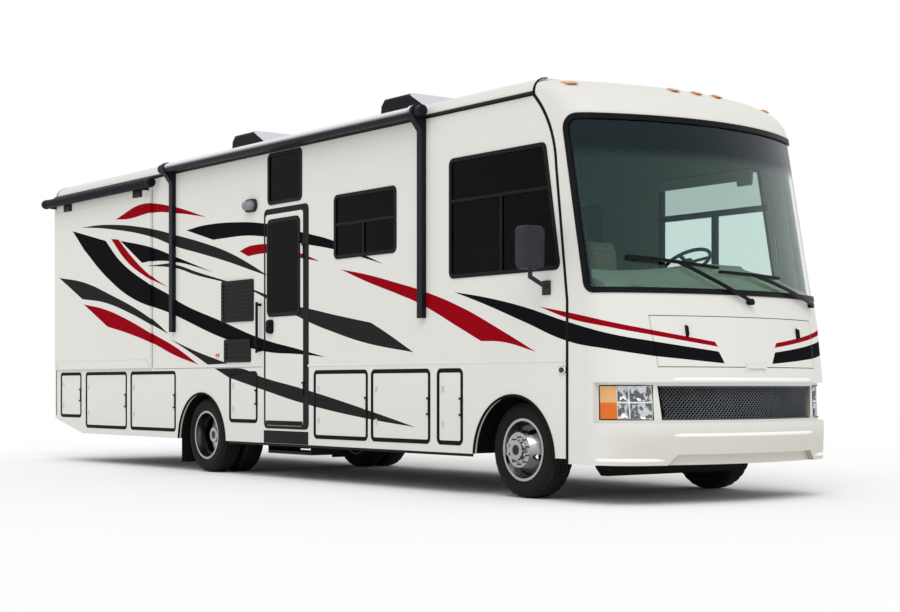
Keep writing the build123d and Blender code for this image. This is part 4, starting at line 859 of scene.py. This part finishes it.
# Slide-out border trim and its seal
slide = dict(x=(-5.1965, -2.5895), z=(1.130, 3.190), skin=1.310, inset=0.105)
centreX, centreZ = sum(slide["x"]) / 2, sum(slide["z"]) / 2
sizeX, sizeZ = slide["x"][1] - slide["x"][0], slide["z"][1] - slide["z"][0]
place = onSide(centreX, centreZ, -1, slide["skin"])
border = Shape()
for grow, rise in ((-2 * slide["inset"], 0.0035), (-0.012, 0.004)):
    w, h = sizeX + grow, sizeZ + grow
    border.rings([[place(u, v, t) for u, v in roundRect(w + d, h + d, 0.012, 3)]
                  for d, t in ((0.010, -0.001), (0.006, rise), (-0.006, rise), (-0.010, -0.001))],
                 capped=False)
piece("slideBorder", border, striped, "slideout")
mitres = Shape()
for cx in (-1, 1):
    for cz in (-1, 1):
        near = Vector(place(cx * (sizeX / 2 - 0.012), cz * (sizeZ / 2 - 0.012), 0.0))
        far = Vector(place(cx * (sizeX / 2 - slide["inset"]), cz * (sizeZ / 2 - slide["inset"]), 0.0))
        mitres.tube([near, far], 0.0016, 6)
piece("slideMitres", mitres, greyTrim, "slideout")
place = onSide(centreX, centreZ, -1)
slideSeal = Shape().rings([[place(u, v, t) for u, v in roundRect(sizeX - 0.024 + d, sizeZ - 0.024 + d, 0.02,
                                                                 4)]
                           for d, t in ((0.014, -0.001), (0.010, 0.0045), (-0.010, 0.0045),
                                        (-0.014, -0.001))],
                          capped=False)
piece("slideSeal", slideSeal, rubber, "coach")

# Rolled cloth, end caps and flat brackets of the slide-out's topper
topper = dict(y=-1.385, z=3.216, ends=(-5.2925, -2.4435), roll=0.053, plates=(-4.790, -2.890), low=3.092,
              high=3.196, face=-1.309, arms=(-5.160, -2.640))
rolled = Shape()
rolled.rings([[(x, topper["y"] + r * math.cos(a), topper["z"] + r * math.sin(a)) for a in circle(40)]
              for x, r in [(topper["ends"][0] + 2.849 * k / 24, topper["roll"] + 0.0008 * (k % 2))
                           for k in range(25)]])
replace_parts(piece("topperRoll", rolled, topperCloth, "slideout"), "slide_topper")
fittings = Shape()
for x, way in zip(topper["ends"], (-1, 1)):
    fittings.rings([[(x + way * step, topper["y"] + r * math.cos(a), topper["z"] + r * math.sin(a))
                     for a in circle(24)]
                    for step, r in ((-0.030, 0.058), (0.010, 0.058), (0.034, 0.053), (0.046, 0.040),
                                    (0.049, 0.018))])
brackets = [(x, 0.098, 0.024, topper["low"]) for x in topper["plates"]]
brackets += [(x, 0.016, 0.076, 3.150) for x in topper["arms"]]
for x, half, out, low in brackets:
    fittings.plate([(2 * half, topper["high"] - low, 0.010, topper["face"]),
                    (2 * half, topper["high"] - low, 0.010, topper["face"] - out)],
                   lambda u, v, t: (x + u, t, (low + topper["high"]) / 2 + v))
piece("topperFittings", fittings, blackTrim, "slideout")

# Porch lamp: dark rim and grey dome
porch = dict(x=-0.378, z=2.778)
place = onSide(porch["x"], porch["z"], -1)
rim = Shape().plate([(0.236, 0.134, 0.066, -0.002), (0.236, 0.134, 0.066, 0.024),
                     (0.226, 0.124, 0.061, 0.032), (0.206, 0.106, 0.052, 0.032),
                     (0.200, 0.100, 0.049, 0.022)], place)
piece("porchLampRim", rim, greyTrim, "coach")
dome = Shape().plate([(0.198, 0.098, 0.048, 0.018), (0.194, 0.094, 0.046, 0.050),
                      (0.176, 0.080, 0.039, 0.068), (0.140, 0.056, 0.027, 0.079),
                      (0.08, 0.028, 0.013, 0.084)], place)
piece("porchLampDome", dome, lampGrey, "coach")

# Thin seam between the walls and the rear end, over the roof's edge
rearSeam = dict(x=-5.214, half=0.008, proud=0.003, low=0.56, eave=3.28, edge=0.16)
for side, label in sides:
    spots = [(coach["skin"], z, 1.0, 0.0) for z in (rearSeam["low"], 2.0)]
    for k in range(11):
        a = math.radians(9 * k)
        y = coach["skin"] - rearSeam["edge"] * (1 - math.cos(a))
        spots.append((y, rearSeam["eave"] + rearSeam["edge"] * math.sin(a), math.cos(a), math.sin(a)))
    rings = [[(rearSeam["x"] + u * rearSeam["half"], side * (y + c * t), z + n * t) for u, t in
              ((-1, -0.002), (-1, 0.002), (-0.4, rearSeam["proud"]), (0.4, rearSeam["proud"]), (1, 0.002),
               (1, -0.002))] for y, z, c, n in spots]
    piece("rearSeam" + label, Shape().rings(rings), rubber, "coach")

# Bars, valance and visor inside the driver's window
cab = dict(y=1.2325, bar=0.036, cloth=0.018)


def boxed(shape, x0, x1, z0, z1, thick, corner):
    return shape.plate([(x1 - x0, z1 - z0, corner, -thick / 2), (x1 - x0, z1 - z0, corner, thick / 2)],
                       lambda u, v, t: ((x0 + x1) / 2 + u, cab["y"] + t, (z0 + z1) / 2 + v))


bars = boxed(Shape(), 2.985, 4.345, 2.484, 2.539, cab["bar"], 0.004)
boxed(bars, 3.682, 3.742, 1.862, 2.490, cab["bar"], 0.004)
piece("cabWindowBars", bars, blackTrim, "coach")
shade = boxed(Shape(), 2.985, 4.166, 2.782, 2.880, cab["cloth"], 0.006)
boxed(shade, 3.985, 4.164, 2.733, 2.800, cab["cloth"] * 0.9, 0.02)
piece("cabShade", shade, dashVinyl, "coach")

# Mirror glasses
mirror = dict(x=4.2745, y=1.505, z=2.022)
for side, label in sides:
    face = Shape().plate([(0.196, 0.316, 0.045, 0.001), (0.196, 0.316, 0.045, 0.003),
                          (0.186, 0.306, 0.040, 0.0045)],
                         lambda u, v, t: (mirror["x"] - t, side * mirror["y"] + u, mirror["z"] + v))
    piece("mirrorGlass" + label, face, chrome, "coach")
print("small fittings done")

# Headlamps: two rows of bowls, clear lens inside and amber lens outside
lamp = dict(low=0.664, high=0.933, inner=0.927, back=4.8245, split=0.58, lensDepth=0.046, ribDepth=0.056,
            bowlDepth=0.092, steps=9)
lamp["start"] = turnAt(lamp["inner"], 0.8, -lamp["ribDepth"])
lamp["outer"] = turnBack(lamp["back"], 0.8, -lamp["ribDepth"])


def lampPoint(side, share, z, depth):  # share runs from the inner end to the outer end
    return capPoint(side * (lamp["start"] + (lamp["outer"] - lamp["start"]) * share), z, -depth)


for side, label in sides:
    bowls, bulbs = Shape(), Shape()
    columns = ((0.0, 0.30), (0.30, lamp["split"]), (lamp["split"], 1.0))
    rowEdges = (lamp["low"], (lamp["low"] + lamp["high"]) / 2, lamp["high"])
    for first, last in columns:
        for zLow, zHigh in zip(rowEdges, rowEdges[1:]):
            grid = []
            for i in range(lamp["steps"] + 1):
                v = -1 + 2 * i / lamp["steps"]
                line = []
                for j in range(lamp["steps"] + 1):
                    u = -1 + 2 * j / lamp["steps"]
                    deep = lamp["bowlDepth"] - 0.034 * max(abs(u), abs(v)) ** 2.2
                    across = first + (last - first) * (u + 1) / 2
                    height = (zLow + zHigh) / 2 + v * (zHigh - zLow) / 2
                    line.append(lampPoint(side, across, height, deep))
                grid.append(line)
            bowls.rings(grid, closed=False, capped=False)
            share, middle = (first + last) / 2, (zLow + zHigh) / 2
            inner = lampPoint(side, share, middle, lamp["bowlDepth"])
            way = (lampPoint(side, share, middle, lamp["ribDepth"]) - inner).normalized()
            cross = way.cross(Vector((0, 0, 1))).normalized()
            bulbs.rings([[inner + way * reach + (cross * math.cos(a) + Vector((0, 0, 1)) * math.sin(a)) * r
                          for a in circle(12)]
                         for reach, r in ((-0.004, 0.012), (0.014, 0.012), (0.016, 0.009), (0.026, 0.008),
                                          (0.031, 0.004))])
    lampBody = piece("headlampBowls" + label, bowls, bowlMetal, "coach", 60)
    if side < 0:
        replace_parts(lampBody, "headlamps")
    piece("headlampBulbs" + label, bulbs, clearLens, "coach")
    for part, first, last, finish, slotName in (("Clear", 0.0, lamp["split"], clearLens, "lamp_clear"),
                                                ("Amber", lamp["split"], 1.0, amberLens, "lamp_amber")):
        sheets = []
        for depth in (lamp["lensDepth"], lamp["lensDepth"] + 0.004):
            heights = [lamp["low"] + (lamp["high"] - lamp["low"]) * k / 8 for k in range(9)]
            sheets.append([[lampPoint(side, first + (last - first) * i / 16, z, depth) for z in heights]
                           for i in range(17)])
        cover = Shape().rings([front + back[::-1] for front, back in zip(*sheets)])
        piece("headlampLens" + part + label, cover, finish, "coach")
    divider = Shape()
    for z0, thick in ((rowEdges[0] + 0.004, 0.005), (rowEdges[1], 0.006), (rowEdges[2] - 0.004, 0.005)):
        divider.tube([lampPoint(side, i / 20, z0, lamp["ribDepth"]) for i in range(21)], thick)
    for share in (0.0, 0.30, lamp["split"], 1.0):
        divider.tube([lampPoint(side, share, z0, lamp["ribDepth"])
                      for z0 in (rowEdges[0] + 0.001, rowEdges[2] - 0.001)], 0.005)
    piece("headlampRibs" + label, divider, ribWhiteAndHighlight, "coach")
    gasket = [lampPoint(side, i / 20, lamp["low"] + 0.002, lamp["lensDepth"]) for i in range(21)]
    gasket += [lampPoint(side, 1 - i / 20, lamp["high"] - 0.002, lamp["lensDepth"]) for i in range(21)]
    piece("headlampGasket" + label, Shape().tube(gasket, 0.0048, 6, True), rubber, "coach")

# Grille: fine diamond mesh in front of a dark back, the back being painted shade for the dark space behind
# the mesh
grille = dict(low=0.660, high=0.927, lowHalf=0.864, highHalf=0.893, pitch=0.034, wire=0.0034, depth=0.064)


def grillePoint(s, z, off):  # s runs along the skin from the middle
    return capPoint(math.degrees(s / nose["bow"]), z, off)


def grilleHalf(share):  # half the grille's width at a share of its height
    return grille["lowHalf"] + (grille["highHalf"] - grille["lowHalf"]) * share


wires = Shape()
reach = grille["highHalf"] * 1.03
tall = grille["high"] - grille["low"]
count = int((2 * reach + 2 * tall) / grille["pitch"])
for way in (-1, 1):
    for k in range(count + 1):
        foot = -reach - tall + k * grille["pitch"]
        line = []
        for i in range(11):
            s = foot + way * (tall * i / 10) + (0 if way > 0 else tall)
            if abs(s) <= grilleHalf(i / 10) * 1.022:
                line.append(grillePoint(s, grille["low"] + tall * i / 10, -grille["depth"] - 0.002 * way))
        if len(line) > 1:
            wires.tube(line, grille["wire"], 4)
for level in (grille["low"] + 0.006, grille["high"] - 0.006):
    half = grilleHalf((level - grille["low"]) / tall)
    wires.tube([grillePoint(half * 1.02 * (-1 + i / 20), level, -grille["depth"]) for i in range(41)],
               0.006, 6)
piece("grilleMesh", wires, meshSteel, "coach")
sheets = []
for off in (-grille["depth"] - 0.022, -grille["depth"] - 0.030):
    sheets.append([[grillePoint(grilleHalf(k / 4) * 1.02 * (-1 + i / 20), grille["low"] + tall * k / 4, off)
                    for k in range(5)]
                   for i in range(41)])
backing = Shape().rings([front + back[::-1] for front, back in zip(*sheets)])
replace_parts(piece("grilleBack", backing, rubber, "coach"), "grille")
print("nose dressed")

# Tyres with ribs, notches and sidewall rings
tyre = dict(
    steps=120, notch=0.008,
    section=((0.100, 0.254), (0.104, 0.262), (0.112, 0.276), (0.1145, 0.280), (0.1150, 0.284),
             (0.1175, 0.288), (0.1185, 0.306), (0.1200, 0.309), (0.1198, 0.330), (0.1200, 0.337),
             (0.1180, 0.350), (0.1160, 0.353), (0.1150, 0.357), (0.1120, 0.366), (0.1080, 0.376),
             (0.1010, 0.386), (0.0950, 0.3905), (0.0870, 0.3955), (0.0700, 0.3985), (0.0680, 0.388),
             (0.0600, 0.388), (0.0580, 0.3995), (0.0260, 0.400), (0.0245, 0.389), (0.0165, 0.389),
             (0.0150, 0.400)),
)


def tyrePiece(name, axleX, middles, finish, body, *stands):
    half = list(tyre["section"])
    loop = half + [(-out, r) for out, r in reversed(half)]
    shape = Shape()
    for y in middles:
        rings = []
        for k in range(tyre["steps"]):
            a = 2 * math.pi * k / tyre["steps"]
            ring = []
            for out, r in loop:
                cut = tyre["notch"] if k % 4 == 0 and abs(out) > 0.069 and r > 0.384 else 0.0
                cut = cut or (0.003 if k % 4 == 2 and 0.0265 > abs(out) > 0.0 and r > 0.3995 else 0.0)
                ring.append((axleX + (r - cut) * math.cos(a), y + out,
                             coach["axleHeight"] + (r - cut) * math.sin(a)))
            rings.append(ring)
        shape.rings(rings, round=True)
    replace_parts(piece(name, shape, finish, body, 40), *stands)


for side, label in ((-1, "right"), (1, "left")):
    tyrePiece("tyreFront" + label.title(), coach["frontAxle"], [side * 1.060], frontTyre,
              "wheel_front_" + label, "tyre_front_" + label)
    tyrePiece("tyresRear" + label.title(), coach["rearAxle"], [side * 1.105, side * 0.830], rearTyre,
              "wheels_rear_" + label, "tyres_rear_" + label)
print("tyres done")

# Cab seats: swollen pads with sewn channels
seat = dict(x=2.9795, y=0.72, cushionZ=1.42, voxel=0.012, pressure=4.0, cap=0.024, channel=0.009)


def evaluated(made):
    return bpy.data.meshes.new_from_object(made.evaluated_get(bpy.context.evaluated_depsgraph_get()))


def padMesh(name, rings):
    shape = Shape().rings(rings)
    made = bpy.data.objects.new(name, shape.mesh(name))
    scene.collection.objects.link(made)
    remesh = made.modifiers.new("remesh", "REMESH")
    remesh.mode, remesh.voxel_size = "VOXEL", seat["voxel"]
    mesh = evaluated(made)
    made.modifiers.clear()
    made.data = mesh
    return made


def swell(made):
    rest = [v.co.copy() for v in made.data.vertices]
    cloth = made.modifiers.new("swell", "CLOTH")
    cloth.settings.use_pressure = True
    cloth.settings.uniform_pressure_force = seat["pressure"]
    cloth.settings.effector_weights.gravity = 0
    cloth.point_cache.frame_start, cloth.point_cache.frame_end = 1, 20
    for step in range(1, 21):
        scene.frame_set(step)
    grown = evaluated(made)
    made.modifiers.clear()
    for vert, start, end in zip(made.data.vertices, rest, grown.vertices):
        step = end.co - start
        vert.co = start + step * min(1.0, seat["cap"] / max(step.length, 1e-6))
    bpy.data.meshes.remove(grown)
    scene.frame_set(1)


def finerMesh(made):
    smooth = made.modifiers.new("fine", "SUBSURF")
    smooth.levels = smooth.render_levels = 1
    mesh = evaluated(made)
    made.modifiers.clear()
    made.data = mesh


def cushionRings():
    rings = []
    for grow, z in ((-0.030, 0.012), (-0.006, 0.030), (0.0, 0.070), (-0.004, 0.105), (-0.034, 0.128)):
        rings.append([(seat["x"] + u, v, seat["cushionZ"] + z + 0.012 * (u > 0.15))
                      for u, v in roundRect(0.490 + 2 * grow, 0.480 + 2 * grow, 0.07)])
    return rings


def backRings():
    rings = []
    for k in range(8):
        share = k / 7
        z = seat["cushionZ"] + 0.150 + 0.745 * share
        middle = seat["x"] - 0.205 - 0.085 * share
        thick = 0.118 - 0.036 * share - (0.03 if k in (0, 7) else 0.0)
        width = 0.455 - 0.03 * max(0.0, share - 0.6) / 0.4 - (0.05 if k in (0, 7) else 0.0)
        rings.append([(middle + u, v, z) for u, v in roundRect(thick, width, thick * 0.42)])
    return rings


def makePads():
    pads = []
    for name, rings, sewn in (("seatCushion", cushionRings(), "x"), ("seatBack", backRings(), "z")):
        made = padMesh(name, rings)
        swell(made)
        finerMesh(made)
        for vert in made.data.vertices:
            if sewn == "x":
                at, step, face = vert.co.x - seat["x"], 0.115, vert.co.z > seat["cushionZ"] + 0.10
            else:
                at, step, face = vert.co.z - seat["cushionZ"] - 0.52, 0.125, True
            near = abs((at / step + 0.5) % 1.0 - 0.5) * step
            if face and abs(vert.co.y) < 0.19:
                sink = seat["channel"] * math.exp(-(near / 0.007) ** 2)
                vert.co -= vert.normal * sink
        pads.append(made)
    return pads


def pipedEdge(made, points):
    path = []
    for point in points:
        found, spot, normal, face = made.closest_point_on_mesh(Vector(point))
        path.append(spot + normal * 0.001)
    return path


cushion, backRest = makePads()
edge = [(seat["x"] + u, v, seat["cushionZ"] + 0.155) for u, v in roundRect(0.462, 0.452, 0.08, 10)]
piping = {"seatCushion": pipedEdge(cushion, edge)}
edge = []
for u, v in roundRect(0.70, 0.42, 0.07, 10):
    share = (u + 0.35) / 0.70
    edge.append((seat["x"] - 0.205 - 0.085 * share + 0.10, v, seat["cushionZ"] + 0.175 + 0.695 * share))
piping["seatBack"] = pipedEdge(backRest, edge)
for made in (cushion, backRest):
    source = made.data
    bpy.data.objects.remove(made)
    for side, label in sides:
        mesh = source.copy()
        for vert in mesh.vertices:
            vert.co.y += side * seat["y"]
        base = "seatCushion" if source.name.startswith("seatCushion") else "seatBack"
        pad = piece(base + label, mesh, seatCloth, "coach", 70)
        if base == "seatCushion" and side < 0:
            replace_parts(pad, "cab_seats")
        cord = Shape().tube([p + Vector((0, side * seat["y"], 0)) for p in piping[base]], 0.0045, 6, True)
        piece(base + "Piping" + label, cord, seatCloth, "coach", 70)
        if base == "seatCushion":
            rests = Shape()
            for offset in (-0.285, 0.285):
                rests.plate([(0.30, 0.040, 0.019, 0.0), (0.34, 0.056, 0.027, 0.012),
                             (0.34, 0.056, 0.027, 0.034), (0.30, 0.036, 0.017, 0.046)],
                            lambda u, v, t: (seat["x"] - 0.06 + u, side * seat["y"] + offset + v,
                                             seat["cushionZ"] + 0.30 + t))
                rests.tube([(seat["x"] - 0.235, side * seat["y"] + offset * 0.86, seat["cushionZ"] + 0.315),
                            (seat["x"] - 0.19, side * seat["y"] + offset, seat["cushionZ"] + 0.318)], 0.014)
            piece("armRests" + label, rests, seatCloth, "coach", 50)
print("seats done")

# Dash: defroster slots along the glass, dials under the hood
dash = dict(x=(5.0745, 4.4545), z=(1.640, 1.865), podX=4.3045, podY=0.56, podZ=1.895)
slope = (dash["z"][1] - dash["z"][0]) / (dash["x"][0] - dash["x"][1])


def dashTop(x):
    return dash["z"][0] + (dash["x"][0] - x) * slope


slots = Shape()
for middle in (-0.86, -0.30, 0.28, 0.84):
    for k in range(5):
        y = middle + 0.032 * (k - 2)
        x = capPoint(turnAt(abs(y), 1.7, -0.14), 1.7, -0.14).x
        slots.plate([(0.016, 0.026, 0.005, -0.004), (0.016, 0.026, 0.005, 0.002),
                     (0.012, 0.022, 0.004, 0.003)],
                    lambda u, v, t: (x + u + slope * t, y + v, dashTop(x + u) + t))
piece("dashSlots", slots, blackTrim, "coach")
dials = Shape()
for y, r in ((-0.10, 0.062), (0.05, 0.062), (0.16, 0.034)):
    rings = []
    for reach, size in ((-0.004, r), (0.006, r), (0.008, r - 0.004), (0.008, r - 0.010), (0.003, r - 0.012)):
        rings.append([(dash["podX"] - 0.014 - reach, dash["podY"] + y + size * math.cos(a),
                       dash["podZ"] + size * math.sin(a))
                      for a in circle(28)])
    dials.rings(rings)
piece("dashDials", dials, darkDash, "coach")

# Brow along the dash, highest in front of the wheel: y, crest height
brow = dict(crest=((-0.78, 1.862), (-0.60, 1.872), (-0.36, 1.890), (-0.138, 1.910), (0.127, 1.949),
                   (0.28, 1.964), (0.414, 1.968), (0.56, 1.966), (0.70, 1.962), (0.80, 1.938),
                   (0.92, 1.918), (1.05, 1.908), (1.16, 1.902)))
rings = []
for y, crest in brow["crest"]:
    rise = crest - dash["z"][1]
    line = [(4.72, dashTop(4.72) - 0.012)]
    for share, lift in ((0.25, 0.10), (0.5, 0.42), (0.75, 0.82), (0.92, 0.98)):
        x = 4.72 - 0.27 * share
        line.append((x, dashTop(x) + rise * lift + 0.002))
    line += [(4.440, crest), (4.424, crest - 0.006), (4.414, crest - 0.020), (4.412, crest - 0.040),
             (4.446, crest - 0.060)]
    rings.append([(x, y, z) for x, z in line])
piece("dashBrow", Shape().rings(rings), dashVinyl, "coach", 50)

# Floor, light and white surround
stage = dict(size=90.0, floor=(1.0, 1.0, 1.0, 1.0), dark=(0.0, 0.0, 0.0, 1.0), fade=(7.5, 15.0), world=0.72,
             sun=1.1, soft=45)
floorMesh = bpy.data.meshes.new("stageFloor")
half = stage["size"]
floorMesh.from_pydata([(-half, -half, 0), (half, -half, 0), (half, half, 0), (-half, half, 0)], [],
                      [(0, 1, 2, 3)])
stageFloor = bpy.data.objects.new("stageFloor", floorMesh)
scene.collection.objects.link(stageFloor)
floorFinish = Finish("stageFloor", Roughness=0.9, Specular_IOR_Level=0.0, Emission_Strength=1.0)
place, x, y, z = floorFinish.spot()
far = floorFinish.fade((x ** 2 + y ** 2).root(), *stage["fade"])
floorFinish.set(Base_Color=floorFinish.mix(far, stage["floor"], stage["dark"]),
                Emission_Color=floorFinish.mix(far, stage["dark"], stage["floor"]))
floorMesh.materials.append(floorFinish.material)
stageFloor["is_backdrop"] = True

world = bpy.data.worlds.new("studio")
scene.world = world
world.use_nodes = True
tree = world.node_tree
light = tree.nodes["Background"]
light.inputs["Color"].default_value = (1, 1, 1, 1)
light.inputs["Strength"].default_value = stage["world"]
shown = tree.nodes.new("ShaderNodeBackground")
shown.inputs["Color"].default_value = (1, 1, 1, 1)
shown.inputs["Strength"].default_value = 1.0
path = tree.nodes.new("ShaderNodeLightPath")
total = None
for output in ("Is Camera Ray", "Is Glossy Ray", "Is Transmission Ray"):
    if total is None:
        total = path.outputs[output]
    else:
        most = tree.nodes.new("ShaderNodeMath")
        most.operation = "MAXIMUM"
        tree.links.new(total, most.inputs[0])
        tree.links.new(path.outputs[output], most.inputs[1])
        total = most.outputs[0]
both = tree.nodes.new("ShaderNodeMixShader")
tree.links.new(total, both.inputs[0])
tree.links.new(light.outputs[0], both.inputs[1])
tree.links.new(shown.outputs[0], both.inputs[2])
tree.links.new(both.outputs[0], tree.nodes["World Output"].inputs["Surface"])

sun = bpy.data.objects.new("sun", bpy.data.lights.new("sun", "SUN"))
scene.collection.objects.link(sun)
sun.data.energy, sun.data.angle = stage["sun"], math.radians(stage["soft"])
sun.rotation_euler = Vector((-0.55, 0.45, -0.9)).to_track_quat("-Z", "Y").to_euler()
scene.view_settings.view_transform = "Standard"
print("stage and light done")

low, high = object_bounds()
